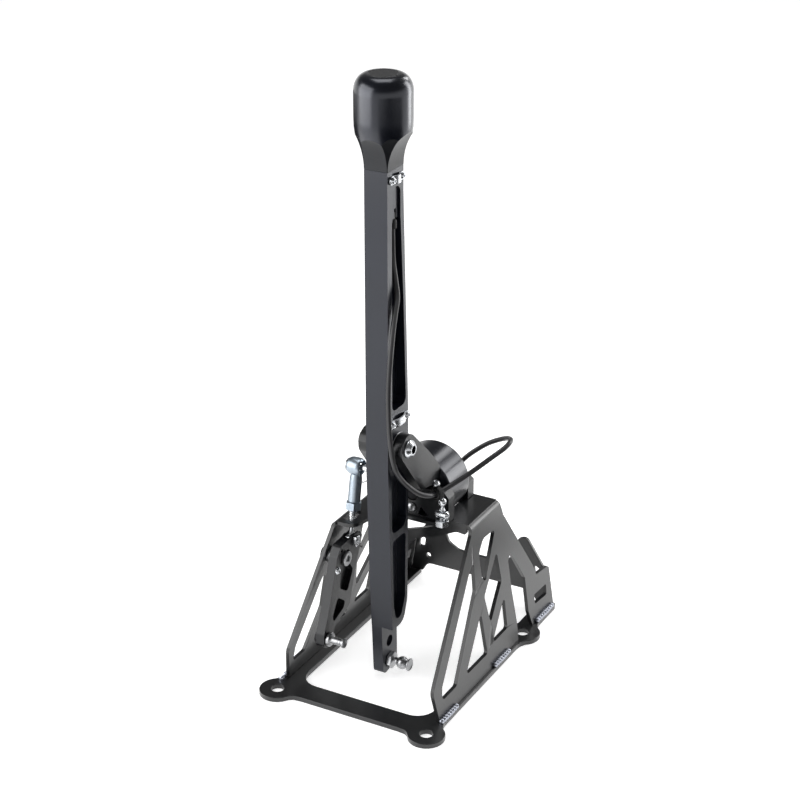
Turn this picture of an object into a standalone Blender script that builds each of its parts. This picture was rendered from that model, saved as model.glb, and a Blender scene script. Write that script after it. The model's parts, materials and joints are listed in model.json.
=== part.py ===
"""Short shifter: leaning trussed bridge, rolling yoke, tall milled lever, bell crank and link."""
import math

import bmesh
import bpy
from mathutils import Matrix, Vector

MM = 0.001
GAP = 0.3

# Base ring, millimetres
PLATE_T = 4.0
HOLE_X = 65.3
HOLE_Y = 83.4
HOLE_R = 5.2
EAR_R = 14.4
BAR_OUT_X = 70.5
BAR_IN_X = 56.0
FRONT_OUT_Y = -86.5
FRONT_IN_Y = -67.0
BAR_END_Y = 139.0
WINDOW_R = 15.0

# Bridge bracket, folded from one sheet
SHEET_T = 3.0
FOOT_HALF = 68.0
TOP_HALF = 49.0
TOP_Z = 127.0
BEND_R = 4.5
FRONT_EDGE_Y = 11.0
RIGHT_EDGE_Y = 19.5
STEP_X = 24.5
REAR_EDGE_Y = 69.0
HORN_Y = -23.0
LEAN = (FOOT_HALF - TOP_HALF) / (TOP_Z - PLATE_T)

# Roll axis, drum and bearing plates
ROLL_Z = 145.0
SHAFT_R = 5.0
DRUM_R = 28.5
DRUM_LEN = 30.8
BEARING_T = 10.0
BEARING_HALF = 32.0
BEARING_TOP = 153.0
BEARING_FRONT_Y = 14.0
DRUM_Y = BEARING_FRONT_Y + BEARING_T + 1.2
BEARING_REAR_Y = DRUM_Y + DRUM_LEN + 1.0
ARM_REAR_Y = DRUM_Y - GAP

# Lever and its pivot
LEVER_HALF = 9.3
PIVOT_Y = -25.0
PIVOT_Z = 205.0
PIVOT_BOLT_R = 4.0
BUSH_R = 6.5
LEVER_TOP = 421.2
LEVER_FRONT_Y = -40.3
TAB_IN_X = -0.5
WEB_T = 3.0
STUD_Y = -21.0
STUD_Z = 15.5
HOLE_TAB_Z = 32.5
HOLE_TAB_R = 4.6

# Yoke arms
ARM_IN = LEVER_HALF + 1.1
ARM_T = 8.0
ARM_OUT = ARM_IN + ARM_T
ARM_BOSS_R = 11.0

# Select linkage on the left side
LINK_X = -40.0
CRANK_T = 7.4
CRANK_Y = -26.0
CRANK_Z = 98.5
EYE_Y = -12.0
EYE_Z = 107.5
BALL_Y = -0.6
BALL_Z = 166.0
BALL_R = 5.0
BALL_CLEAR = 0.8
CHEEK_SLOT = 4.4
CRANK_EYE_Y = -54.0
CRANK_EYE_Z = 41.0

# Knob
KNOB_R = 21.0
KNOB_BASE_Z = LEVER_TOP + GAP
KNOB_TOP_Z = 489.1
KNOB_HOLLOW_R = 40.0
KNOB_PLATE_FLATS = 20.0
KNOB_Y = -28.5

# Cable and its clip
CABLE_D = 4.0
PITCH_SPLIT = 3.6
ROLL_SPLIT = 2.2
CLIP_X = 27.0
CLIP_Y = 4.5
CLIP_LOOP_Z = 156.8
BARREL_X = 29.6
BARREL_Y = 8.2
BARREL_Z = 137.6
BARREL_R = 3.2

MATERIALS = {
    "black_satin": ((0.012, 0.012, 0.014), 0.6, 0.38),
    "black_powder": ((0.02, 0.02, 0.022), 0.1, 0.5),
    "black_gloss": ((0.008, 0.008, 0.01), 0.2, 0.22),
    "zinc": ((0.68, 0.69, 0.70), 1.0, 0.28),
    "steel": ((0.55, 0.56, 0.57), 1.0, 0.35),
    "rubber": ((0.015, 0.015, 0.015), 0.0, 0.75),
    "bronze": ((0.45, 0.30, 0.14), 1.0, 0.4),
}


def clear_scene():
    """Remove every object so that the script starts from nothing."""
    for item in list(bpy.data.objects):
        bpy.data.objects.remove(item, do_unlink=True)


def make_material(node, finish):
    """Give one node its own Principled material."""
    colour, metallic, rough = MATERIALS[finish]
    material = bpy.data.materials.new(node + "_" + finish)
    material.use_nodes = True
    shader = material.node_tree.nodes["Principled BSDF"]
    shader.inputs["Base Color"].default_value = (*colour, 1.0)
    shader.inputs["Metallic"].default_value = metallic
    shader.inputs["Roughness"].default_value = rough
    return material


def finish_object(name, shape, finish, smooth_angle=32.0, origin=(0.0, 0.0, 0.0)):
    """Turn a bmesh in millimetres into a named object with its origin at a given point."""
    bmesh.ops.remove_doubles(shape, verts=shape.verts[:], dist=0.0005)
    bmesh.ops.recalc_face_normals(shape, faces=shape.faces[:])
    shift = Vector(origin)
    bmesh.ops.translate(shape, verts=shape.verts[:], vec=-shift)
    bmesh.ops.scale(shape, verts=shape.verts[:], vec=(MM, MM, MM))
    limit = math.radians(smooth_angle)
    for face in shape.faces:
        face.smooth = True
    for edge in shape.edges:
        edge.smooth = edge.calc_face_angle(math.pi) < limit
    mesh = bpy.data.meshes.new(name)
    shape.to_mesh(mesh)
    shape.free()
    item = bpy.data.objects.new(name, mesh)
    item.location = shift * MM
    item.data.materials.append(make_material(name, finish))
    bpy.context.scene.collection.objects.link(item)
    return item


def arc(cu, cv, radius, start, end, steps):
    """Points of an arc in degrees, both ends included."""
    points = []
    for i in range(steps + 1):
        turn = math.radians(start + (end - start) * i / steps)
        points.append((cu + radius * math.cos(turn), cv + radius * math.sin(turn)))
    return points


def circle(cu, cv, radius, steps=24):
    """A closed ring of points."""
    return arc(cu, cv, radius, 0.0, 360.0 * (steps - 1) / steps, steps - 1)


def fillet(points, radius, steps=3):
    """Round every corner of a closed polygon; a third value in a point overrides the radius."""
    rounded = []
    count = len(points)
    for i in range(count):
        here = Vector(points[i][:2])
        before = Vector(points[i - 1][:2]) - here
        after = Vector(points[(i + 1) % count][:2]) - here
        size = points[i][2] if len(points[i]) > 2 else radius
        angle = before.angle(after)
        if size <= 0.0 or angle > math.radians(174.0):
            rounded.append((here.x, here.y))
            continue
        cut = size / math.tan(angle / 2.0)
        room = 0.48 * min(before.length, after.length)
        if cut > room:
            size *= room / cut
            cut = room
        centre = here + (before.normalized() + after.normalized()).normalized() * (size / math.sin(angle / 2.0))
        first = here + before.normalized() * cut - centre
        last = here + after.normalized() * cut - centre
        sweep = first.angle_signed(last)
        for step in range(steps + 1):
            turn = -sweep * step / steps
            spun = Matrix.Rotation(turn, 2) @ first
            rounded.append((centre.x + spun.x, centre.y + spun.y))
    return rounded


def slab_shape(loops, place, depth):
    """Closed plate from flat loops; place maps (u, v, w) in millimetres to a point."""
    shape = bmesh.new()
    for loop in loops:
        ring = [shape.verts.new(place(u, v, 0.0)) for u, v in loop]
        for i, vert in enumerate(ring):
            shape.edges.new((vert, ring[(i + 1) % len(ring)]))
    bmesh.ops.triangle_fill(shape, use_beauty=True, use_dissolve=False, edges=shape.edges[:])
    faces = shape.faces[:]
    made = bmesh.ops.extrude_face_region(shape, geom=faces, use_keep_orig=True)
    moved = [item for item in made["geom"] if isinstance(item, bmesh.types.BMVert)]
    travel = Vector(place(0.0, 0.0, depth)) - Vector(place(0.0, 0.0, 0.0))
    bmesh.ops.translate(shape, verts=moved, vec=travel)
    bmesh.ops.recalc_face_normals(shape, faces=shape.faces[:])
    return shape


def plan(z):
    """Flat loops read as (x, y), thickness upward from z."""
    return lambda u, v, w: (u, v, z + w)


def across(x):
    """Flat loops read as (y, z), thickness toward +X from x."""
    return lambda u, v, w: (x + w, u, v)


def along(y):
    """Flat loops read as (x, z), thickness toward +Y from y."""
    return lambda u, v, w: (u, y + w, v)


def axis_matrix(centre, direction):
    """Matrix that stands local +Z along a direction at a centre."""
    turn = Vector(direction).normalized().to_track_quat("Z", "Y").to_matrix().to_4x4()
    return Matrix.Translation(Vector(centre)) @ turn


def turned_shape(profile, centre, direction, steps=24, closed=False):
    """Revolve (radius, height) points about a direction; closed makes a ring body."""
    shape = bmesh.new()
    matrix = axis_matrix(centre, direction)
    rings = []
    for radius, height in profile:
        if radius < 1e-6:
            rings.append([shape.verts.new(matrix @ Vector((0.0, 0.0, height)))])
            continue
        ring = []
        for i in range(steps):
            turn = 2.0 * math.pi * i / steps
            ring.append(shape.verts.new(matrix @ Vector((radius * math.cos(turn), radius * math.sin(turn),
                                                         height))))
        rings.append(ring)
    pairs = list(zip(rings, rings[1:]))
    if closed:
        pairs.append((rings[-1], rings[0]))
    for low, high in pairs:
        for i in range(steps):
            j = (i + 1) % steps
            if len(low) == 1:
                shape.faces.new((low[0], high[j], high[i]))
            elif len(high) == 1:
                shape.faces.new((low[i], low[j], high[0]))
            else:
                shape.faces.new((low[i], low[j], high[j], high[i]))
    bmesh.ops.recalc_face_normals(shape, faces=shape.faces[:])
    return shape


def rod_profile(radius, low, high, chamfer=0.4):
    """Plain chamfered cylinder."""
    return [(0.0, low), (radius - chamfer, low), (radius, low + chamfer),
            (radius, high - chamfer), (radius - chamfer, high), (0.0, high)]


def tube_profile(inner, outer, low, high, chamfer=0.3):
    """Plain chamfered tube, for a closed ring body."""
    return [(inner, low), (outer - chamfer, low), (outer, low + chamfer),
            (outer, high - chamfer), (outer - chamfer, high), (inner, high)]


def hexagon(across_flats):
    """Corner ring of a hexagon."""
    return arc(0.0, 0.0, across_flats / math.sqrt(3.0), 0.0, 300.0, 5)


def nut_shape(centre, direction, across_flats, height, bore):
    """Hexagon nut with its lower face on the centre."""
    matrix = axis_matrix(centre, direction)
    loops = [hexagon(across_flats), circle(0.0, 0.0, bore, 16)]
    shape = slab_shape(loops, lambda u, v, w: tuple(matrix @ Vector((u, v, w))), height)
    return shape


def combine(shape, other, operation):
    """Exact boolean of two bmeshes, returning a new bmesh."""
    pair = []
    for part in (shape, other):
        mesh = bpy.data.meshes.new("work")
        part.to_mesh(mesh)
        part.free()
        item = bpy.data.objects.new("work", mesh)
        bpy.context.scene.collection.objects.link(item)
        pair.append(item)
    base, tool = pair
    tool.hide_render = True
    tool.display_type = "WIRE"
    step = base.modifiers.new("cut", "BOOLEAN")
    step.operation = operation
    step.solver = "EXACT"
    step.object = tool
    bpy.context.view_layer.update()
    solid = base.evaluated_get(bpy.context.evaluated_depsgraph_get())
    result = bmesh.new()
    result.from_mesh(solid.to_mesh())
    solid.to_mesh_clear()
    for item in pair:
        mesh = item.data
        bpy.data.objects.remove(item, do_unlink=True)
        bpy.data.meshes.remove(mesh)
    bmesh.ops.remove_doubles(result, verts=result.verts[:], dist=0.002)
    bmesh.ops.dissolve_degenerate(result, dist=0.001, edges=result.edges[:])
    return result


def cut(shape, *tools):
    """Subtract tools one after another."""
    for tool in tools:
        shape = combine(shape, tool, "DIFFERENCE")
    return shape


def join(shape, *others):
    """Unite bodies that overlap."""
    for other in others:
        shape = combine(shape, other, "UNION")
    return shape


def panel_x(z):
    """Outer half width of the bridge at a height."""
    return FOOT_HALF - LEAN * (z - PLATE_T)


def base_outline(side):
    """Half of the base plate's outer edge, from the front centre to the rear end, for one side."""
    points = [(42.0, FRONT_OUT_Y), (48.5, FRONT_OUT_Y - 0.6), (51.3, FRONT_OUT_Y - 2.2)]
    points += arc(HOLE_X, -HOLE_Y, EAR_R, -151.0, 55.0, 15)
    points += [(71.2, -67.0), (BAR_OUT_X, -62.0), (BAR_OUT_X, 62.0), (71.2, 67.0)]
    points += arc(HOLE_X, HOLE_Y, EAR_R, -55.0, 55.0, 9)
    points += [(71.2, 99.8), (BAR_OUT_X, 104.8), (BAR_OUT_X, BAR_END_Y - 4.0),
               (BAR_OUT_X - 1.2, BAR_END_Y - 1.2)]
    points += [(BAR_OUT_X - 4.0, BAR_END_Y), (BAR_IN_X + 3.0, BAR_END_Y), (BAR_IN_X + 0.9, BAR_END_Y - 0.9)]
    points += [(BAR_IN_X, BAR_END_Y - 3.0)]
    reach = math.degrees(math.acos((HOLE_X - BAR_IN_X) / EAR_R))
    points += arc(HOLE_X, HOLE_Y, EAR_R, 180.0 - reach, 180.0 + reach, 6)
    points += arc(BAR_IN_X - WINDOW_R, FRONT_IN_Y + WINDOW_R, WINDOW_R, 0.0, -90.0, 6)
    return [(side * x, y) for x, y in points]


def build_base():
    """Flat base frame with four ears, open at the rear where the cable anchor closes it."""
    outline = base_outline(1.0) + base_outline(-1.0)[::-1]
    holes = [circle(sx * HOLE_X, sy * HOLE_Y, HOLE_R, 20) for sx in (-1, 1) for sy in (-1, 1)]
    shape = slab_shape([outline] + holes, plan(0.0), PLATE_T)
    finish_object("base_plate", shape, "black_powder")


def folded_profile():
    """Cross-section of the folded sheet: right foot, over the top, left foot."""
    tilt = math.degrees(math.atan(LEAN))
    outer_r = BEND_R
    inner_r = BEND_R - SHEET_T
    half_turn = math.radians((90.0 - tilt) / 2.0)
    centre_x = TOP_HALF - outer_r * math.tan(half_turn)
    centre_z = TOP_Z - outer_r
    low = PLATE_T + GAP
    slip = SHEET_T / math.cos(math.radians(tilt))
    outer = [(panel_x(low), low)] + arc(centre_x, centre_z, outer_r, tilt, 90.0, 5)
    inner = [(panel_x(low) - slip, low)] + arc(centre_x, centre_z, inner_r, tilt, 90.0, 5)
    right = outer + [(-u, v) for u, v in outer[::-1]]
    back = [(-u, v) for u, v in inner] + inner[::-1]
    return right + back


REAR_PART = [(68.0, 150.0, 0.0), (68.0, TOP_Z, 2.0), (72.0, 113.0), (109.5, 52.0, 3.0), (114.0, 41.4),
             (137.0, 38.5, 3.0), (137.0, PLATE_T - 1.0, 0.0), (97.0, PLATE_T - 1.0, 0.0), (93.0,
                                                                                           18.0), (94.0,
                                                                                                   48.0),
             (80.0, 72.0), (75.0, 79.0), (70.0, 74.0), (69.5, 52.0), (71.5, 20.0), (70.0, PLATE_T - 1.0,
                                                                                    0.0)]
RIGHT_FRONT = [(-66.0, PLATE_T - 1.0, 0.0), (-70.0, 30.0, 8.0), (19.0, 121.0, 6.0), (19.0, 150.0, 0.0)]
LEFT_FRONT = [(-66.0, PLATE_T - 1.0, 0.0), (-73.0, 33.0, 8.0), (-25.0, 123.0, 4.0), (-25.0, 150.0, 0.0)]
SHARED_WINDOWS = [
    [(55.5, 108.5), (35.0, 109.5, 8.0), (25.5, 101.0, 8.0), (25.0, 80.0, 5.0), (30.0, 75.5, 2.0)],
    [(53.5, 90.5, 2.0), (25.0, 64.5, 4.0), (29.5, 39.5, 2.0), (55.5, 64.0, 4.0)],
    [(56.5, 50.5, 2.0), (28.0, 22.5, 2.0), (55.0, 22.5, 3.0)],
    [(16.8, 55.5, 2.0), (-19.0, 19.0, 2.0), (18.5, 18.5, 3.0)],
    [(105.6, 27.0, 1.5), (128.5, 26.0, 1.5), (127.0, 17.0, 1.5), (105.4, 18.8, 1.5)],
]
RIGHT_WINDOW = [(16.0, 99.5, 2.0), (6.0, 92.5, 5.0), (-56.0, 28.5, 6.0), (-58.5, 18.5, 3.0),
                (-35.0, 18.5, 4.0), (8.5, 69.5, 6.0), (13.0, 75.0, 5.0)]
LEFT_WINDOWS = [
    [(-29.0, 85.5, 2.0), (-36.0, 77.0, 4.0), (-63.0, 32.0, 5.0), (-64.5, 18.5, 3.0), (-46.0, 18.5, 3.0),
     (-26.5, 50.0, 4.0), (-26.0, 78.0, 3.0)],
    [(-11.0, 97.0, 3.0), (12.0, 102.0, 3.0), (17.0, 72.0, 4.0), (-2.0, 52.0, 3.0), (-13.0, 66.0, 4.0)],
]


def side_cutter(side, front, windows):
    """Everything outside one leaning panel's outline, plus its windows."""
    start = TOP_HALF - 3.2
    depth = 30.0
    outline = fillet(front + REAR_PART, 1.5, 4)
    frame = [(-120.0, -20.0), (-120.0, 200.0), (180.0, 200.0), (180.0, -20.0)]
    place = across(start) if side > 0 else across(-start - depth)
    tools = [slab_shape([frame, outline], place, depth)]
    for window in windows:
        tools.append(slab_shape([fillet(window, 2.0, 4)], place, depth))
    return tools


def top_cutters():
    """What lies in front of the top sheet's edge and horn, and what lies behind its rear edge."""
    limit = TOP_HALF - 3.1
    front = [(-limit, -140.0, 0.0), (limit, -140.0, 0.0), (limit, RIGHT_EDGE_Y, 0.0),
             (STEP_X, RIGHT_EDGE_Y, 1.5),
             (STEP_X, FRONT_EDGE_Y, 2.0), (-14.0, FRONT_EDGE_Y, 10.0), (-26.0, -2.0, 12.0), (-31.0, HORN_Y,
                                                                                             10.0),
             (-limit, HORN_Y, 0.0)]
    rear = [(-limit, REAR_EDGE_Y), (limit, REAR_EDGE_Y), (limit, 180.0), (-limit, 180.0)]
    return [slab_shape([loop], plan(TOP_Z - 8.0), 12.0) for loop in (fillet(front, 0.0, 5), rear)]


def build_bridge():
    """Folded bridge: top sheet, horn, two trussed panels and the front lip."""
    shape = slab_shape([folded_profile()], along(-90.0), 232.0)
    tools = side_cutter(1.0, RIGHT_FRONT, SHARED_WINDOWS + [RIGHT_WINDOW])
    tools += side_cutter(-1.0, LEFT_FRONT, SHARED_WINDOWS + LEFT_WINDOWS)
    tools += top_cutters()
    drum_half = math.sqrt(DRUM_R ** 2 - (ROLL_Z - TOP_Z) ** 2) + 2.4
    well = fillet([(-drum_half, DRUM_Y - 0.6), (drum_half, DRUM_Y - 0.6),
                   (drum_half, BEARING_REAR_Y - 0.4), (-drum_half, BEARING_REAR_Y - 0.4)], 2.0, 3)
    tools.append(slab_shape([well], plan(TOP_Z - 8.0), 12.0))
    slot = fillet([(LINK_X - 4.3, -17.5, 4.0), (LINK_X + 4.3, -17.5, 4.0),
                   (LINK_X + 4.3, 0.5, 4.0), (LINK_X - 4.3, 0.5, 4.0)], 4.0, 5)
    tools.append(slab_shape([slot], plan(TOP_Z - 8.0), 12.0))
    shape = cut(shape, *tools)
    lip = fillet([(44.5, TOP_Z - 1.0, 0.0), (44.5, 117.5, 2.0), (36.0, 118.6, 8.0), (28.0, 114.5, 5.0),
                  (15.7, 108.6, 10.0), (9.5, 107.6, 6.0), (1.0, 104.0, 8.0), (-6.0, 96.5, 7.0), (-15.0,
                                                                                                 92.0, 5.0),
                  (-17.0, 102.0, 6.0), (-9.0, 109.0, 8.0), (6.5, 114.4, 10.0), (17.6, 118.6, 4.0), (23.4,
                                                                                                    119.5, 2.0),
                  (STEP_X + 0.6, TOP_Z - 1.0, 0.0)], 2.0, 5)
    lip_shape = slab_shape([lip], along(RIGHT_EDGE_Y + 0.4), SHEET_T)
    shape = join(shape, lip_shape)
    bores = []
    for x, y in bearing_screw_spots():
        bores.append(turned_shape(rod_profile(2.7, -3.0, 12.0, 0.1), (x, y, TOP_Z - 6.0), (0, 0, 1), 12))
    bores.append(turned_shape(rod_profile(3.3, -8.0, 8.0, 0.1), (-panel_x(CRANK_Z), CRANK_Y, CRANK_Z),
                              (1, 0, 0), 16))
    shape = cut(shape, *bores)
    finish_object("bridge_bracket", shape, "black_powder")


def bearing_screw_spots():
    """Plan positions of the four screws that hold the bearing plates from below."""
    rows = ((18.0, BEARING_FRONT_Y), (20.0, BEARING_REAR_Y))
    return [(side * x, y + BEARING_T / 2.0) for x, y in rows for side in (-1, 1)]


def build_anchor():
    """Rear plate between the panels: two winged ears with a window each, and an arched foot."""
    def reach(z):
        return panel_x(z) - SHEET_T - 0.5

    low = PLATE_T + GAP
    half = [(0.0, 32.0, 8.0), (12.0, 32.3, 8.0), (20.0, 33.0, 8.0), (29.0, 38.0, 8.0), (36.0, 59.0, 5.0),
            (43.5, 61.0, 5.0), (reach(37.0), 37.0, 1.5), (reach(low), low, 0.0),
            (BAR_IN_X - 2.5, low, 1.0), (BAR_IN_X - 7.0, 12.5, 7.0)]
    outline = half[1:] + [(-p[0], p[1], p[2]) for p in half[:0:-1]]
    loops = [fillet(outline, 2.0, 4)]
    for side in (-1, 1):
        corner = [(52.0, 28.0, 1.5), (57.0, 27.5, 1.5), (56.0, 34.5, 1.5), (50.5, 38.0, 1.5)]
        loops.append(fillet([(side * u, v, r) for u, v, r in corner], 1.5, 3))
        loops.append(circle(side * 48.0, 20.5, 2.2, 12))
    shape = slab_shape(loops, along(133.6), SHEET_T)
    finish_object("cable_anchor", shape, "black_powder")


def build_bearings():
    """Two chamfered upright plates, the shaft between them and their screws."""
    foot = TOP_Z + GAP
    front_half = [(BEARING_HALF, foot), (BEARING_HALF, 148.5), (28.0, BEARING_TOP)]
    rear_half = [(27.0, foot), (27.0, 141.6), (14.0, BEARING_TOP)]
    plates = (("front_bearing_plate", BEARING_FRONT_Y, front_half),
              ("rear_bearing_plate", BEARING_REAR_Y, rear_half))
    for name, y, half in plates:
        outline = half + [(-u, v) for u, v in half[::-1]]
        loops = [fillet(outline, 0.8, 2), circle(0.0, ROLL_Z, SHAFT_R + GAP, 24)]
        if y == BEARING_FRONT_Y:
            for side in (-1, 1):
                window = [(side * 5.5, 128.8), (side * 14.5, 128.8), (side * 8.0, 136.5)]
                loops.append(fillet(window, 0.8, 2))
        shape = slab_shape(loops, along(y), BEARING_T)
        bores = []
        for spot_x, spot_y in bearing_screw_spots():
            if y < spot_y < y + BEARING_T:
                bores.append(turned_shape(rod_profile(2.7, 0.0, 10.0, 0.1), (spot_x, spot_y, TOP_Z - 1.0),
                                          (0, 0, 1), 12))
        if y == BEARING_FRONT_Y:
            bores.append(turned_shape(rod_profile(1.8 + GAP, -1.0, 6.0, 0.1), (BARREL_X - 2.6, y, BARREL_Z),
                                      (0, 1, 0), 12))
        shape = cut(shape, *bores)
        finish_object(name, shape, "black_satin")
    front_y = BEARING_FRONT_Y + 0.6
    rear_y = BEARING_REAR_Y + BEARING_T
    shaft = [(0.0, front_y), (SHAFT_R - 0.6, front_y), (SHAFT_R, front_y + 0.6), (SHAFT_R, rear_y + 0.3),
             (8.0, rear_y + 0.3), (8.5, rear_y + 0.8), (8.5, rear_y + 3.6), (7.6, rear_y + 4.6), (0.0,
                                                                                                  rear_y + 4.6)]
    finish_object("roll_shaft", turned_shape(shaft, (0, 0, ROLL_Z), (0, 1, 0), 24), "steel")
    face_screw = [(0.0, -2.8), (2.0, -2.7), (3.6, -1.6), (3.9, -0.3), (0.0, -0.3)]
    finish_object("bearing_face_screw",
                  turned_shape(face_screw, (0.0, BEARING_FRONT_Y, 134.2), (0, 1, 0), 20), "zinc")
    for i, (x, y) in enumerate(bearing_screw_spots()):
        profile = [(0.0, -5.6), (3.9, -5.6), (4.3, -5.2), (4.3, -3.3), (2.2, -3.3), (2.2, 4.5), (0.0, 4.5)]
        finish_object("bearing_screw_%d" % (i + 1), turned_shape(profile, (x, y, TOP_Z), (0, 0, 1), 16),
                      "zinc")


def build_yoke():
    """Fork with two long arms and a back plate, the drum behind it, bushes and the pivot bolt."""
    arm = arc(PIVOT_Y, PIVOT_Z, ARM_BOSS_R, 50.0, 215.0, 14)
    arm += [(-5.0, 161.6), (ARM_REAR_Y, 155.6), (ARM_REAR_Y, 169.5), (21.0, 174.5), (6.0, 190.5)]
    loops = [arm, circle(PIVOT_Y, PIVOT_Z, PIVOT_BOLT_R + GAP, 20)]
    right = slab_shape(loops, across(ARM_IN), ARM_T)
    left = slab_shape(loops, across(-ARM_OUT), ARM_T)
    back = slab_shape([[(-ARM_OUT + 2.0, 157.0), (ARM_OUT - 2.0, 157.0), (ARM_OUT - 2.0, 168.0),
                        (8.0, 172.4), (-8.0, 172.4), (-ARM_OUT + 2.0,
                                                      168.0)]], along(15.5), ARM_REAR_Y - 15.5 - 0.05)
    shape = join(right, back, left)
    pin_bore = turned_shape(rod_profile(3.0, -2.0, 8.0, 0.1), (-ARM_OUT, BALL_Y, BALL_Z), (1, 0, 0), 16)
    bores = [pin_bore]
    for side in (-1, 1):
        bores.append(turned_shape(rod_profile(2.7, -14.0, 6.0, 0.1), (side * 5.4, ARM_REAR_Y, 165.5),
                                  (0, 1, 0), 12))
    shape = cut(shape, *bores)
    axis = (0.0, BEARING_FRONT_Y, ROLL_Z)
    finish_object("yoke_fork", shape, "black_satin", origin=axis)

    drum = [(8.3, 0.0), (DRUM_R - 1.2, 0.0), (DRUM_R, 1.2), (DRUM_R, DRUM_LEN - 1.6),
            (DRUM_R - 1.6, DRUM_LEN), (8.3, DRUM_LEN)]
    shape = turned_shape(drum, (0.0, DRUM_Y, ROLL_Z), (0, 1, 0), 56, closed=True)
    holes = []
    for side in (-1, 1):
        holes.append(turned_shape(rod_profile(2.5, -2.0, 9.0, 0.1), (side * 5.4, DRUM_Y, 165.5), (0, 1, 0),
                                  12))
    finish_object("yoke_drum", cut(shape, *holes), "black_gloss", origin=axis)
    for name, start in (("drum_bush_front", 0.3), ("drum_bush_rear", DRUM_LEN - 9.3)):
        shape = turned_shape(tube_profile(SHAFT_R + GAP, 8.0, start, start + 9.0), (0.0, DRUM_Y, ROLL_Z),
                             (0, 1, 0), 20, True)
        finish_object(name, shape, "bronze", origin=axis)
    for side, label in ((-1, "left"), (1, "right")):
        head = [(0.0, -13.4), (2.6, -13.4), (4.1, -12.4), (4.1, -9.7), (2.0, -9.7), (2.0, 7.0), (0.0, 7.0)]
        finish_object("drum_screw_" + label, turned_shape(head, (side * 5.4, ARM_REAR_Y, 165.5), (0, 1, 0),
                                                          16), "zinc", origin=axis)
    head_x = ARM_OUT + GAP
    bolt = [(0.0, -head_x - 7.0), (PIVOT_BOLT_R - 0.5, -head_x - 7.0), (PIVOT_BOLT_R, -head_x - 6.5),
            (PIVOT_BOLT_R, head_x),
            (6.2, head_x), (7.0, head_x + 0.6), (6.6, head_x + 2.2), (4.6, head_x + 3.6), (2.4,
                                                                                           head_x + 3.9),
            (2.4, head_x + 1.6), (0.0, head_x + 1.6)]
    finish_object("pivot_bolt", turned_shape(bolt, (0.0, PIVOT_Y, PIVOT_Z), (1, 0, 0), 24), "zinc",
                  origin=axis)
    nut = nut_shape((-head_x, PIVOT_Y, PIVOT_Z), (-1, 0, 0), 13.0, 6.5, PIVOT_BOLT_R + GAP)
    finish_object("pivot_nut", nut, "zinc", origin=axis)
    pin = [(0.0, 5.0), (2.7, 5.0), (2.7, -0.3), (4.6, -0.3), (4.6, -4.0), (3.2, -4.6), (2.8, -14.0)]
    ball_at = -(abs(LINK_X) - ARM_OUT)
    for i in range(1, 9):
        turn = math.radians(34.0 + (180.0 - 34.0) * i / 8.0)
        pin.append((BALL_R * math.sin(turn), ball_at + BALL_R * math.cos(turn)))
    pin[-1] = (0.0, ball_at - BALL_R)
    finish_object("link_ball_pin", turned_shape(pin, (-ARM_OUT, BALL_Y, BALL_Z), (1, 0, 0), 20), "zinc",
                  origin=axis)


def lever_rear(z):
    """Rear edge of the lever bar at a height."""
    marks = [(66.0, -10.0), (185.0, -8.6), (236.0, -9.3), (317.0, -13.2), (402.0, -16.8), (430.0, -16.8)]
    for (z0, y0), (z1, y1) in zip(marks, marks[1:]):
        if z <= z1:
            return y0 + (y1 - y0) * (z - z0) / (z1 - z0)
    return marks[-1][1]


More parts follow.
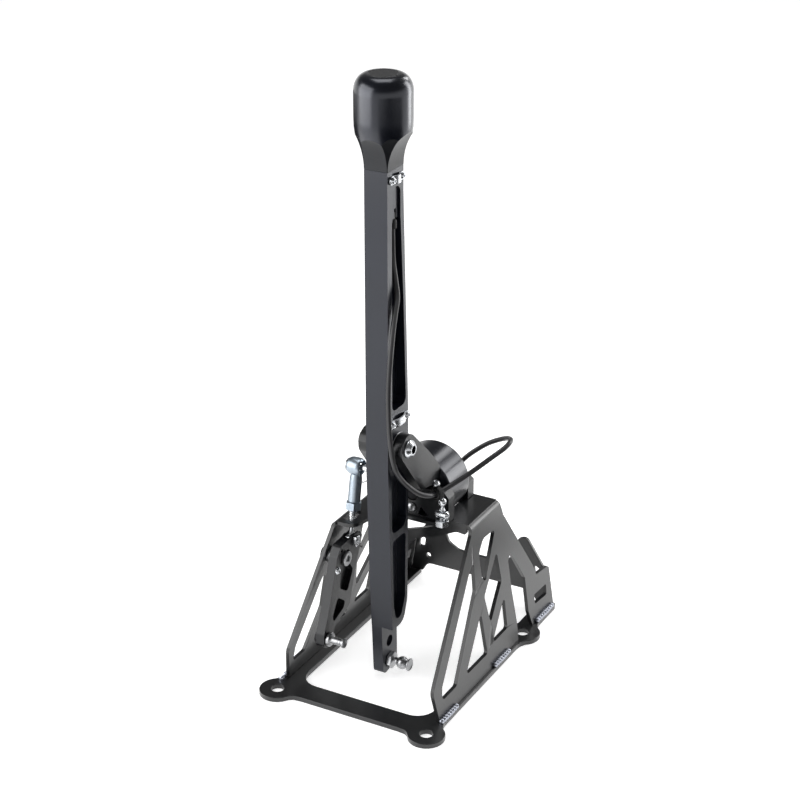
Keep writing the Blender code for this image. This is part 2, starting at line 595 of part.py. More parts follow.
def build_lever():
    """Milled lever bar with pockets on both faces, a boss at the pivot and a stepped lower tab."""
    outline = [(-33.6, 50.5, 0.5), (-36.3, 95.0, 0.0), (-38.6, 150.0, 30.0), (LEVER_FRONT_Y, 190.0, 30.0),
               (LEVER_FRONT_Y, LEVER_TOP, 0.0), (-16.8, LEVER_TOP, 0.0), (-16.8, 402.0, 0.0), (-13.2, 317.0,
                                                                                               0.0),
               (-9.3, 236.0, 0.0), (-8.6, 185.0, 0.0), (-10.0, 68.0, 14.0), (-16.0, 50.5, 9.0)]
    body = slab_shape([fillet(outline, 0.0, 5)], across(-LEVER_HALF), 2.0 * LEVER_HALF)
    tab = fillet([(-30.8, 6.0, 4.5), (-33.2, 44.0, 0.0), (-34.6, 70.0, 0.0), (-13.0, 70.0, 0.0),
                  (-9.4, 52.0, 2.0),
                  (-8.8, 8.0, 5.0)], 0.0, 5)
    tab_shape = slab_shape([tab], across(-LEVER_HALF + 0.02), TAB_IN_X + LEVER_HALF - 0.02)
    shape = join(body, tab_shape)
    depth = LEVER_HALF - WEB_T / 2.0
    pocket_a = [(-33.8, 236.0, 5.0), (-33.8, 384.0, 2.0), (-21.0, 384.0, 2.0),
                (lever_rear(318) - 3.2, 318.0, 0.0), (-12.6, 236.0, 5.0)]
    pocket_b = [(-34.2, 134.0, 6.0), (-34.8, 180.0, 4.0), (-30.0, 186.0, 4.0), (-19.0, 186.0, 4.0),
                (-12.4, 180.0, 4.0),
                (-12.8, 134.0, 6.0)]
    pocket_c = [(-28.5, 58.0, 6.5), (-31.5, 70.0, 0.0), (-33.6, 128.0, 4.0), (-13.0, 128.0, 4.0),
                (-13.6, 72.0, 6.0), (-20.0, 57.0, 6.0)]
    tools = []
    for side in (-1, 1):
        start = LEVER_HALF - depth if side > 0 else -LEVER_HALF - 1.0
        for pocket in (pocket_a, pocket_b):
            tools.append(slab_shape([fillet(pocket, 3.0, 5)], across(start), depth + 1.0))
    tools.append(slab_shape([fillet(pocket_c, 3.0, 5)], across(LEVER_HALF - depth), depth + 1.0))
    tongue = fillet([(-33.0, 380.0, 0.0), (-33.0, 408.0, 5.8), (-21.2, 408.0, 5.8), (-21.2, 380.0, 0.0)],
                    0.0, 6)
    tools.append(slab_shape([tongue], across(LEVER_HALF - 1.8), 3.0))
    tools.append(turned_shape(rod_profile(BUSH_R + GAP, -15.0, 15.0, 0.1), (0.0, PIVOT_Y, PIVOT_Z),
                              (1, 0, 0), 24))
    tools.append(turned_shape(rod_profile(HOLE_TAB_R, -15.0, 15.0, 0.1), (0.0, STUD_Y, HOLE_TAB_Z),
                              (1, 0, 0), 20))
    tools.append(turned_shape(rod_profile(3.3, -15.0, 15.0, 0.1), (0.0, STUD_Y, STUD_Z), (1, 0, 0), 16))
    tools.append(turned_shape(rod_profile(CABLE_D / 2.0 + 0.5, -6.0, 3.0, 0.1), CABLE_LEVER[0], (0, 0, 1),
                              14))
    for y, z in strap_screw_spots():
        tools.append(turned_shape(rod_profile(1.8, -5.0, 3.0, 0.1), (LEVER_HALF, y, z), (1, 0, 0), 10))
    shape = cut(shape, *tools)
    pivot = (0.0, PIVOT_Y, PIVOT_Z)
    finish_object("lever_bar", shape, "black_satin", origin=pivot)
    for name, sign in (("pivot_bush_left", -1.0), ("pivot_bush_right", 1.0)):
        profile = [(PIVOT_BOLT_R + GAP, 1.0), (BUSH_R, 1.0), (BUSH_R, LEVER_HALF + GAP),
                   (9.6, LEVER_HALF + GAP),
                   (9.6, LEVER_HALF + 0.8), (PIVOT_BOLT_R + GAP, LEVER_HALF + 0.8)]
        finish_object(name, turned_shape(profile, pivot, (sign, 0, 0), 24, True), "steel", origin=pivot)


def strap_screw_spots():
    """(y, z) of the four strap screws on the lever's right face."""
    return [(-35.0, 414.4), (-21.4, 414.4), (-35.4, 226.5), (-13.6, 226.5)]


def build_straps():
    """Two saddle straps with two button screws each, the cable ferrule and its plug."""
    pivot = (0.0, PIVOT_Y, PIVOT_Z)
    spots = strap_screw_spots()
    for label, first, last in (("upper", spots[0], spots[1]), ("lower", spots[2], spots[3])):
        middle = 0.5 * (first[0] + last[0])
        half = 0.5 * (last[0] - first[0])
        z = first[1]
        outline = arc(first[0], z, 3.2, 90.0, 270.0, 8) + arc(last[0], z, 3.2, -90.0, 90.0, 8)
        shape = slab_shape([outline, circle(first[0], z, 1.8, 12), circle(last[0], z, 1.8, 12)],
                           across(LEVER_HALF + GAP), 1.2)
        hump = slab_shape([arc(middle, z, half - 3.1, 0.0, 345.0, 23)], across(LEVER_HALF + GAP + 0.1), 1.7)
        shape = join(shape, hump)
        finish_object(label + "_strap", shape, "zinc", origin=pivot)
        for number, (y, height) in enumerate((first, last)):
            top = LEVER_HALF + GAP + 1.2
            head = [(0.0, LEVER_HALF - 4.0), (1.4, LEVER_HALF - 4.0), (1.4, top + 0.2), (2.5, top + 0.2),
                    (2.6, top + 0.7), (1.7, top + 1.9), (0.0, top + 2.1)]
            name = "%s_strap_screw_%d" % (label, number + 1)
            finish_object(name, turned_shape(head, (0.0, y, height), (1, 0, 0), 16), "zinc", origin=pivot)


def build_lever_stud():
    """Ball stud for the shift cable and its nut on the lever's lower tab."""
    pivot = (0.0, PIVOT_Y, PIVOT_Z)
    base = TAB_IN_X + GAP
    finish_object("lever_ball_stud", turned_shape(stud_profile(base), (0.0, STUD_Y, STUD_Z), (1, 0, 0), 20),
                  "zinc", origin=pivot)
    nut = nut_shape((-LEVER_HALF - GAP, STUD_Y, STUD_Z), (-1, 0, 0), 10.0, 5.0, 3.0 + GAP)
    finish_object("lever_stud_nut", nut, "zinc", origin=pivot)


def stud_profile(base):
    """Ball stud from its threaded end to its end flange; base is the seat of its hexagon."""
    centre = base + 11.0
    profile = [(0.0, -LEVER_HALF - 6.5), (2.6, -LEVER_HALF - 6.5), (3.0, -LEVER_HALF - 6.0), (3.0, base),
               (6.0, base), (6.0, base + 3.4), (5.2, base + 4.2), (3.0, base + 4.8), (2.8, base + 6.6)]
    for i in range(8):
        turn = math.radians(146.0 - 112.0 * i / 7.0)
        profile.append((4.8 * math.sin(turn), centre + 4.8 * math.cos(turn)))
    profile += [(2.7, centre + 4.8), (4.6, centre + 5.2), (4.6, centre + 6.4), (3.9, centre + 7.0),
                (0.0, centre + 7.0)]
    return profile


def knob_hollow(turn, reach):
    """Milling bar for one hollow facet that leaves the lever's outline and runs out into the grip."""
    out = Vector((math.cos(math.radians(turn)), math.sin(math.radians(turn)), 0.0))
    centre = Vector((0.0, KNOB_Y, LEVER_TOP)) + out * (reach + KNOB_HOLLOW_R)
    return turned_shape(rod_profile(KNOB_HOLLOW_R, -30.0, 30.0, 0.1), centre, (-out.y, out.x, 0.0), 120)


def build_knob():
    """Turned grip milled into the square of the lever by eight hollow facets, with a bare plate on top."""
    profile = [(0.0, 0.0), (15.8, 0.0), (16.8, 6.5), (18.4, 14.5), (19.9, 22.5), (20.8, 29.5),
               (KNOB_R, 35.5)]
    crown = KNOB_TOP_Z - KNOB_BASE_Z - 12.8
    for i in range(11):
        turn = math.radians(9.0 * i)
        spread = max(0.0, math.cos(turn)) ** 0.92
        profile.append((10.8 + (KNOB_R - 10.8) * spread, crown + 12.8 * math.sin(turn) ** 0.95))
    profile.append((0.0, KNOB_TOP_Z - KNOB_BASE_Z))
    shape = turned_shape(profile, (0.0, KNOB_Y, KNOB_BASE_Z), (0, 0, 1), 64)
    half_depth = KNOB_Y - LEVER_FRONT_Y + 0.15
    half_width = LEVER_HALF + 0.2
    corner = (half_depth + half_width) / math.sqrt(2.0) - 2.0
    reaches = (half_width, corner, half_depth, corner)
    hollows = [knob_hollow(45.0 * i, reaches[i % 4]) for i in range(8)]
    seat = slab_shape([hexagon_at(0.0, KNOB_Y, KNOB_PLATE_FLATS)], plan(KNOB_TOP_Z - 1.0), 4.0)
    spigot = turned_shape(rod_profile(5.2, -2.0, 15.0, 0.1), (0.0, KNOB_Y, KNOB_BASE_Z), (0, 0, 1), 20)
    shape = cut(shape, *hollows, seat, spigot)
    pivot = (0.0, PIVOT_Y, PIVOT_Z)
    finish_object("knob", shape, "black_satin", 40.0, origin=pivot)
    plate = slab_shape([hexagon_at(0.0, KNOB_Y, KNOB_PLATE_FLATS - 2.0 * GAP)], plan(KNOB_TOP_Z - 0.7), 0.7)
    finish_object("knob_cap_plate", plate, "steel", origin=pivot)
    stud = turned_shape(rod_profile(4.8, 0.0, 14.0, 0.5), (0.0, KNOB_Y, KNOB_BASE_Z), (0, 0, 1), 20)
    finish_object("knob_stud", stud, "steel", origin=pivot)


def hexagon_at(u, v, across_flats):
    """Hexagon loop with a centre."""
    return [(u + a, v + b) for a, b in hexagon(across_flats)]


def build_crank():
    """Thick bell crank with two pockets, a forked top and a ball stud at its lower end."""
    x0 = LINK_X - CRANK_T / 2.0
    outline = fillet([(-38.5, 105.0, 5.0), (-33.0, 112.0, 4.0), (-5.0, 113.0, 4.0), (0.5, 107.5, 4.0),
                      (-9.5, 86.0, 20.0),
                      (-21.0, 54.5, 6.0), (-44.0, 47.0, 5.0), (CRANK_EYE_Y + 7.0, CRANK_EYE_Z - 3.0, 4.0),
                      (CRANK_EYE_Y + 2.0, CRANK_EYE_Z - 8.0, 5.0), (CRANK_EYE_Y - 6.5, CRANK_EYE_Z - 5.5,
                                                                    5.0),
                      (CRANK_EYE_Y - 6.5, CRANK_EYE_Z + 5.5, 6.0), (-53.0, 63.0, 14.0), (-43.4, 90.0,
                                                                                         10.0)], 4.0, 4)
    holes = [circle(CRANK_Y, CRANK_Z, 3.3, 18), circle(EYE_Y, EYE_Z, 2.7, 14),
             circle(CRANK_EYE_Y, CRANK_EYE_Z, 3.3, 16),
             fillet([(-5.6, 104.6), (-3.8, 105.0), (-3.0, 109.0), (-4.8, 108.8)], 0.8, 2), circle(-31.5,
                                                                                                  107.2, 1.6, 10)]
    shape = slab_shape([outline] + holes, across(x0), CRANK_T)
    face = x0 + CRANK_T
    upper = fillet([(-33.5, 104.4, 4.0), (-20.2, 104.4, 2.0), (-20.0, 91.0, 3.0), (-15.0, 84.0, 3.0),
                    (-24.0, 68.0, 3.0), (-35.0, 76.0, 3.0)], 3.0, 4)
    lower = fillet([(-39.0, 70.0, 3.0), (-27.5, 61.5, 3.0), (-30.5, 56.5, 3.0), (-46.0, 51.5, 3.0),
                    (-46.5, 57.0, 3.0)], 3.0, 4)
    tools = [slab_shape([upper], across(face - 4.0), 6.0), slab_shape([lower], across(face - 5.2), 8.0)]
    mouth = [(-18.8, EYE_Z - 7.3), (6.0, EYE_Z - 7.3), (6.0, 120.0), (-18.8, 120.0)]
    tools.append(slab_shape([mouth], across(LINK_X - CHEEK_SLOT / 2.0), CHEEK_SLOT))
    shape = cut(shape, *tools)
    axis = (LINK_X, CRANK_Y, CRANK_Z)
    finish_object("bell_crank", shape, "black_satin", origin=axis)
    top = face - LINK_X - 3.7
    left = -(panel_x(CRANK_Z) + LINK_X) - 9.0
    bolt = [(0.0, left), (2.6, left), (3.0, left + 0.4), (3.0, top), (4.7, top), (5.0, top + 0.3),
            (5.0, top + 5.5),
            (4.6, top + 6.0), (2.6, top + 6.0), (2.6, top + 3.0), (0.0, top + 3.0)]
    finish_object("crank_pivot_bolt", turned_shape(bolt, axis, (1, 0, 0), 24), "zinc")
    inner_x = -(panel_x(CRANK_Z) - SHEET_T - 0.2)
    spacer = turned_shape(tube_profile(3.3, 6.5, -16.0, -CRANK_T / 2.0 - GAP), axis, (1, 0, 0), 20, True)
    spacer = trim(spacer, (inner_x + GAP, CRANK_Y, CRANK_Z), (-1.0, 0.0, LEAN))
    finish_object("crank_spacer", spacer, "steel")
    outer_x = -panel_x(CRANK_Z)
    nut = nut_shape((outer_x + 3.0, CRANK_Y, CRANK_Z), (-1, 0, 0), 10.0, 9.0, 3.3)
    nut = trim(nut, (outer_x - GAP, CRANK_Y, CRANK_Z), (1.0, 0.0, -LEAN))
    finish_object("crank_pivot_nut", nut, "zinc")
    seat = face - LINK_X + GAP
    stud = [(0.0, -CRANK_T / 2.0 - 5.8), (2.6, -CRANK_T / 2.0 - 5.8), (3.0, -CRANK_T / 2.0 - 5.4),
            (3.0, seat), (5.6, seat), (5.6, seat + 3.0), (3.0, seat + 4.0),
            (2.6, seat + 5.5)]
    centre = seat + 9.0
    for i in range(8):
        turn = math.radians(146.0 - 112.0 * i / 7.0)
        stud.append((4.2 * math.sin(turn), centre + 4.2 * math.cos(turn)))
    stud += [(2.4, centre + 4.2), (3.8, centre + 4.5), (3.8, centre + 5.6), (0.0, centre + 5.6)]
    spot = (LINK_X, CRANK_EYE_Y, CRANK_EYE_Z)
    finish_object("crank_ball_stud", turned_shape(stud, spot, (1, 0, 0), 20), "zinc", origin=axis)
    nut = nut_shape((x0 - GAP, CRANK_EYE_Y, CRANK_EYE_Z), (-1, 0, 0), 10.0, 4.5, 3.3)
    finish_object("crank_stud_nut", nut, "zinc", origin=axis)
    pin = [(0.0, -CRANK_T / 2.0 - 2.4), (4.0, -CRANK_T / 2.0 - 2.4), (4.0, -CRANK_T / 2.0 - GAP),
           (2.4, -CRANK_T / 2.0 - GAP),
           (2.4, CRANK_T / 2.0 + 3.4), (0.0, CRANK_T / 2.0 + 3.4)]
    finish_object("link_pin", turned_shape(pin, (LINK_X, EYE_Y, EYE_Z), (1, 0, 0), 16), "zinc", origin=axis)
    nut = nut_shape((face + GAP, EYE_Y, EYE_Z), (1, 0, 0), 8.0, 2.6, 2.4 + GAP)
    finish_object("link_pin_nut", nut, "zinc", origin=axis)


def trim(shape, point, normal):
    """Cut a body with a plane, keep the side behind the normal and cap it."""
    geometry = shape.verts[:] + shape.edges[:] + shape.faces[:]
    result = bmesh.ops.bisect_plane(shape, geom=geometry, plane_co=point, plane_no=normal, clear_outer=True)
    edges = [item for item in result["geom_cut"] if isinstance(item, bmesh.types.BMEdge)]
    bmesh.ops.triangle_fill(shape, use_beauty=True, use_dissolve=False, edges=edges)
    bmesh.ops.recalc_face_normals(shape, faces=shape.faces[:])
    return shape


def build_link():
    """Adjustable link from the crank's fork to the yoke's ball: eye, rod, lock nut, sleeve, socket and ring."""
    low = Vector((LINK_X, EYE_Y, EYE_Z))
    high = Vector((LINK_X, BALL_Y, BALL_Z))
    span = (high - low).length
    direction = (high - low).normalized()
    axis = tuple(low)
    eye_r = 6.2
    eye = turned_shape(tube_profile(2.4 + GAP, eye_r, -1.9, 1.9), low, (1, 0, 0), 24, True)
    neck = turned_shape(rod_profile(1.8, 4.4, 13.0, 0.2), low, direction, 16)
    finish_object("link_lower_eye", join(eye, neck), "zinc", origin=axis)
    rod = turned_shape(rod_profile(2.9, 13.0 + GAP, 34.0, 0.3), low, direction, 16)
    finish_object("link_rod", rod, "steel", origin=axis)
    nut = nut_shape(low + direction * 25.2, direction, 10.0, 5.4, 2.9 + GAP)
    finish_object("link_lock_nut", nut, "zinc", origin=axis)
    bore_r = BALL_R + BALL_CLEAR
    head = turned_shape(tube_profile(bore_r, 8.4, -6.4, 5.0, 0.8), high, (1, 0, 0), 28, True)
    sleeve_low = 31.0
    sleeve = turned_shape([(2.9 + GAP, sleeve_low), (4.4, sleeve_low), (4.9, sleeve_low + 0.6),
                           (4.9, span - 11.0), (4.2, span - 7.4),
                           (2.9 + GAP, span - 7.4)], low, direction, 20, True)
    socket = join(head, sleeve)
    finish_object("link_socket", socket, "zinc", origin=axis)
    ring = turned_shape([(6.9, -8.3), (8.9, -8.3), (8.9, -6.7), (6.9, -6.7)], high, (1, 0, 0), 24, True)
    finish_object("link_clip_ring", ring, "steel", origin=axis)


def build_clip():
    """Cable clip on the front bearing plate: pin, barrel, threaded stud, nut, ball and lined loop."""
    spot = (BARREL_X, BARREL_Y, 0.0)
    barrel_at = (BARREL_X, BARREL_Y, BARREL_Z)
    stud = [(0.0, 126.6), (1.7, 126.6), (2.0, 126.9), (2.0, BARREL_Z - 1.5), (0.0, BARREL_Z - 1.5)]
    finish_object("clip_stud", turned_shape(stud, spot, (0, 0, 1), 14), "zinc")
    finish_object("clip_nut", nut_shape((BARREL_X, BARREL_Y, 128.3), (0, 0, 1), 10.0, 5.0, 2.0 + GAP),
                  "zinc")
    barrel = turned_shape(rod_profile(BARREL_R, -5.5, 5.5, 1.6), barrel_at, (1, 0, 0), 24)
    stud_bore = turned_shape(rod_profile(2.0 + GAP, -6.0, -1.2, 0.1), barrel_at, (0, 0, 1), 14)
    pin_at = (BARREL_X - 2.6, BARREL_Y, BARREL_Z)
    pin_bore = turned_shape(rod_profile(1.8 + GAP, 1.4, 6.0, 0.1), pin_at, (0, 1, 0), 12)
    finish_object("clip_fitting", cut(barrel, stud_bore, pin_bore), "zinc")
    finish_object("clip_pin", turned_shape(rod_profile(1.8, 1.8, 11.0, 0.3), pin_at, (0, 1, 0), 14),
                  "steel")
    ball = [(0.0, 141.1), (2.4, 141.1), (1.6, 143.2), (1.7, 145.0), (2.6, 146.2), (3.1, 148.0),
            (3.1, 149.4),
            (2.5, 150.6), (1.4, 151.5), (0.0, 151.8)]
    finish_object("clip_ball", turned_shape(ball, spot, (0, 0, 1), 20), "zinc")
    before, here, after = (Vector(CABLE_FRAME[CLIP_INDEX + i]) for i in (-1, 0, 1))
    direction = after - before
    lining = turned_shape(tube_profile(CABLE_D / 2.0 + 0.8, 4.5, -2.6, 2.6, 0.8), here, direction, 24, True)
    finish_object("clip_rubber", lining, "rubber")
    band = turned_shape([(4.8, -2.0), (5.6, -2.0), (5.6, 2.0), (4.8, 2.0)], here, direction, 28, True)
    finish_object("clip_band", band, "zinc")
    screw = [(0.0, CLIP_LOOP_Z + 6.4), (2.2, CLIP_LOOP_Z + 6.4), (3.0, CLIP_LOOP_Z + 7.0),
             (3.0, CLIP_LOOP_Z + 9.4),
             (2.2, CLIP_LOOP_Z + 10.2), (0.0, CLIP_LOOP_Z + 10.2)]
    finish_object("clip_screw", turned_shape(screw, (CLIP_X - 1.0, CLIP_Y, 0.0), (0, 0, 1), 16), "zinc")


CABLE_LEVER = [(5.4, -26.0, 388.0), (5.4, -26.0, 370.0), (5.5, -25.2, 352.0), (8.0, -27.0, 340.0),
               (11.7, -30.5, 327.0), (12.0, -34.0, 315.0), (12.0, -37.6, 302.0), (12.0, -42.7, 273.0),
               (12.2, -44.6, 247.0), (12.4, -42.6, 217.0)]
CABLE_YOKE = [(12.4, -42.6, 217.0), (13.2, -37.4, 193.2), (15.2, -28.1, 178.3), (21.0, -17.7, 166.0)]
CABLE_FRAME = [(21.0, -17.7, 166.0), (25.6, -8.0, 160.0), (CLIP_X, CLIP_Y, CLIP_LOOP_Z),
               (32.5, 16.0, 159.5),
               (42.1, 30.0, 166.4), (52.5, 43.0, 175.4), (59.2, 55.5, 181.2), (58.4, 66.5, 182.6),
               (49.0, 75.5, 178.0), (34.0, 80.0, 169.0), (22.0, 81.5, 159.5), (12.5, 81.5, 150.5),
               (5.0, 80.0, 141.5)]
CLIP_INDEX = CABLE_FRAME.index((CLIP_X, CLIP_Y, CLIP_LOOP_Z))


def smooth_route(points, per_span):
    """Points along a smooth curve through the chosen route points."""
    padded = [points[0]] + list(points) + [points[-1]]
    route = []
    for i in range(len(points) - 1):
        p0, p1, p2, p3 = (Vector(p) for p in padded[i:i + 4])
        for step in range(per_span):
            t = step / per_span
            route.append(0.5 * (2.0 * p1 + (p2 - p0) * t + (2.0 * p0 - 5.0 * p1 + 4.0 * p2 - p3) * t * t
                                + (3.0 * p1 - p0 - 3.0 * p2 + p3) * t ** 3))
    route.append(Vector(points[-1]))
    return route


def build_cable():
    """Bowden cable in three lengths: on the lever, past the pivot and on the frame."""
    full = CABLE_LEVER + CABLE_YOKE[1:] + CABLE_FRAME[1:]
    route = smooth_route(full, 3)
    first = 3 * (len(CABLE_LEVER) - 1)
    second = first + 3 * (len(CABLE_YOKE) - 1)
    pieces = (("cable_upper", route[:first + 1]), ("cable_middle", route[first:second + 1]),
              ("cable_loop", route[second:]))
    splits = {"cable_middle": PITCH_SPLIT, "cable_loop": ROLL_SPLIT}
    for name, points in pieces:
        away = points[1] - points[0]
        points = [points[0] + away.normalized() * splits.get(name, 0.0)] + points[1:]
        curve = bpy.data.curves.new(name, "CURVE")
        curve.dimensions = "3D"
        curve.bevel_depth = CABLE_D / 2.0 * MM
        curve.bevel_resolution = 2
        curve.use_fill_caps = True
        spline = curve.splines.new("POLY")
        spline.points.add(len(points) - 1)
        for target, point in zip(spline.points, points):
            target.co = (*(point * MM), 1.0)
        item = bpy.data.objects.new(name, curve)
        curve.materials.append(make_material(name, "rubber"))
        bpy.context.scene.collection.objects.link(item)
    end = Vector(CABLE_FRAME[-1])
    away = (end - Vector(CABLE_FRAME[-2])).normalized()
    gland = turned_shape([(0.0, 0.5), (3.2, 0.5), (3.6, 0.9), (3.6, 6.0), (2.6, 7.4), (0.0, 7.4)], end,
                         away, 18)
    finish_object("cable_end_fitting", gland, "zinc")


def main():
    """Build every node of the shifter."""
    clear_scene()
    build_base()
    build_bridge()
    build_anchor()
    build_bearings()
    build_yoke()
    build_lever()
    build_straps()
    build_lever_stud()
    build_knob()
    build_crank()
    build_link()
    build_clip()
    build_cable()


main()
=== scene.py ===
"""Looks of the short shifter: finishes, rounded edges, fasteners, welds, cable and studio."""

import json
import logging
import math
from dataclasses import dataclass
from enum import Enum
from typing import Callable, Iterable, Optional, Sequence

import bmesh
import bpy
from mathutils import Matrix, Vector

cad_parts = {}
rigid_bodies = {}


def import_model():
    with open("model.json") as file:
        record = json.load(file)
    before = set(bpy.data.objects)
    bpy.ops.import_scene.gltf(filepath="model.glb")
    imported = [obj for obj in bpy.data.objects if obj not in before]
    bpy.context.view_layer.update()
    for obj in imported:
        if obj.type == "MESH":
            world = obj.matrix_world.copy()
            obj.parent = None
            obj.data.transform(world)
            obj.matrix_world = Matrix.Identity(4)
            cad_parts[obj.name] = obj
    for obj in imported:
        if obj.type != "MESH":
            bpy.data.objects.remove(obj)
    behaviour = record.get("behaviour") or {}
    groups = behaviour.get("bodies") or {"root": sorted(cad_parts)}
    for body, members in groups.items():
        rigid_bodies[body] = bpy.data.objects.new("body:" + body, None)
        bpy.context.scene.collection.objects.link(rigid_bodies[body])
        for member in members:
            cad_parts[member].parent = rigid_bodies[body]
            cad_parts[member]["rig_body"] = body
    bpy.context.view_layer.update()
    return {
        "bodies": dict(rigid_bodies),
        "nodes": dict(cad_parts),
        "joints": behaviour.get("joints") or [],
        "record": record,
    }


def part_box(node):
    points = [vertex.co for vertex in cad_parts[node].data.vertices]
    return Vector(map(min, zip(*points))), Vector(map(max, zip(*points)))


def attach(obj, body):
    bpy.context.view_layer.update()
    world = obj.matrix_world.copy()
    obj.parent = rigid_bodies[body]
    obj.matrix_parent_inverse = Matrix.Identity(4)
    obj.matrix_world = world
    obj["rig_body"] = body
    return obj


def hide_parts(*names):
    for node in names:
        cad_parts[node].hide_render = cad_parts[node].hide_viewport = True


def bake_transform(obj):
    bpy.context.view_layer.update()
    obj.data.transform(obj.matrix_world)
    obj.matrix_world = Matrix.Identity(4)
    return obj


LOG = logging.getLogger("short_shifter")
MM = 0.001
ROUND_STEPS = 48
# Radius of the rim round a hexagon socket, as a share of the width across its flats
SOCKET_RIM = 0.62
# Places of the Mix node's sockets: its pair of plain values, its pair of colours, and its colour result
VALUE_A = 2
VALUE_B = 3
COLOUR_A = 6
COLOUR_B = 7
COLOUR_OUT = 2

Point = tuple[float, float, float]


# Colour and shader nodes

def linear(hex_colour: str) -> tuple[float, float, float, float]:
    """Turn an sRGB hex colour into the linear values that shaders take.

    Args:
        hex_colour: Colour such as "#1a1b1d".

    Returns:
        Linear red, green, blue and an alpha of one.
    """
    channels = [int(hex_colour[i:i + 2], 16) / 255.0 for i in (1, 3, 5)]
    values = [c / 12.92 if c <= 0.04045 else ((c + 0.055) / 1.055) ** 2.4 for c in channels]
    return (values[0], values[1], values[2], 1.0)


def add_node(tree: bpy.types.NodeTree, kind: str, settings: Optional[dict] = None,
             links: Optional[dict] = None) -> bpy.types.Node:
    """Add one shader node with its settings and links.

    Args:
        tree: Node tree that takes the node.
        kind: Node type, such as "ShaderNodeTexNoise".
        settings: Input names or numbers, or node attributes, and their values.
        links: Input names or numbers and the sockets that feed them.

    Returns:
        The new node.
    """
    node = tree.nodes.new(kind)
    for key, value in (settings or {}).items():
        if isinstance(key, int) or key in node.inputs:
            node.inputs[key].default_value = value
        else:
            setattr(node, key, value)
    for key, socket in (links or {}).items():
        tree.links.new(socket, node.inputs[key])
    return node


@dataclass(frozen=True)
class Finish:
    """What every finish shares: a shader with one base colour, and Object coordinates in millimetres."""

    title: str
    dark: str
    light: str
    roughness: float
    metallic: float

    def material(self) -> bpy.types.Material:
        """Build the material once and hand it out again afterwards.

        Returns:
            The material named by this finish's title.
        """
        known = bpy.data.materials.get(self.title)
        if known is not None:
            return known
        made = bpy.data.materials.new(self.title)
        made.use_nodes = True
        tree = made.node_tree
        shader = tree.nodes["Principled BSDF"]
        shader.inputs["Metallic"].default_value = self.metallic
        place = add_node(tree, "ShaderNodeTexCoord")
        in_mm = add_node(tree, "ShaderNodeVectorMath", {"operation": "SCALE", "Scale": 1.0 / MM},
                         {0: place.outputs["Object"]})
        self.dress(tree, shader, in_mm.outputs[0])
        return made

    def tone(self, tree: bpy.types.NodeTree, shader: bpy.types.Node, pattern: bpy.types.NodeSocket) -> None:
        """Let a pattern run the base colour between the dark and the light tone."""
        mix = add_node(tree, "ShaderNodeMix",
                       {"data_type": "RGBA", COLOUR_A: linear(self.dark), COLOUR_B: linear(self.light)},
                       {0: pattern})
        tree.links.new(mix.outputs[COLOUR_OUT], shader.inputs["Base Color"])

    def gloss(self, tree: bpy.types.NodeTree, shader: bpy.types.Node, pattern: bpy.types.NodeSocket,
              spread: float) -> None:
        """Let a pattern run the roughness a little to either side of its value."""
        reach = add_node(tree, "ShaderNodeMapRange",
                         {"To Min": self.roughness - spread, "To Max": self.roughness + spread},
                         {"Value": pattern})
        tree.links.new(reach.outputs[0], shader.inputs["Roughness"])

    def relief(self, tree: bpy.types.NodeTree, shader: bpy.types.Node, pattern: bpy.types.NodeSocket,
               height_mm: float, strength: float) -> None:
        """Let a pattern raise the surface by a real height."""
        bump = add_node(tree, "ShaderNodeBump", {"Strength": strength, "Distance": height_mm * MM},
                        {"Height": pattern})
        tree.links.new(bump.outputs["Normal"], shader.inputs["Normal"])

    def dress(self, tree: bpy.types.NodeTree, shader: bpy.types.Node, in_mm: bpy.types.NodeSocket) -> None:
        """Add the patterns of one kind of finish; each kind has its own."""
        raise NotImplementedError


@dataclass(frozen=True)
class PowderCoat(Finish):
    """Baked polyester powder on steel sheet: satin black with a soft orange peel."""

    peel_mm: float = 1.7

    def dress(self, tree: bpy.types.NodeTree, shader: bpy.types.Node, in_mm: bpy.types.NodeSocket) -> None:
        """Orange peel, faint clouding of the colour and a slow change of gloss."""
        cloud = add_node(tree, "ShaderNodeTexNoise", {"Scale": 1.0 / 38.0, "Detail": 3.0},
                         {"Vector": in_mm})
        peel = add_node(tree, "ShaderNodeTexNoise",
                        {"Scale": 1.0 / self.peel_mm, "Detail": 2.0, "Roughness": 0.45}, {"Vector": in_mm})
        self.tone(tree, shader, cloud.outputs["Fac"])
        self.gloss(tree, shader, cloud.outputs["Fac"], 0.05)
        self.relief(tree, shader, peel.outputs["Fac"], 0.10, 0.35)
        shader.inputs["Coat Weight"].default_value = 0.5
        shader.inputs["Coat Roughness"].default_value = 0.2


class GrainRun(Enum):
    """Which way the cutter's marks run on a machined face."""

    UPRIGHT = (6.0, 6.0, 0.12)
    LEVEL = (0.12, 0.12, 5.0)
    BEAD_BLAST = (2.6, 2.6, 2.6)


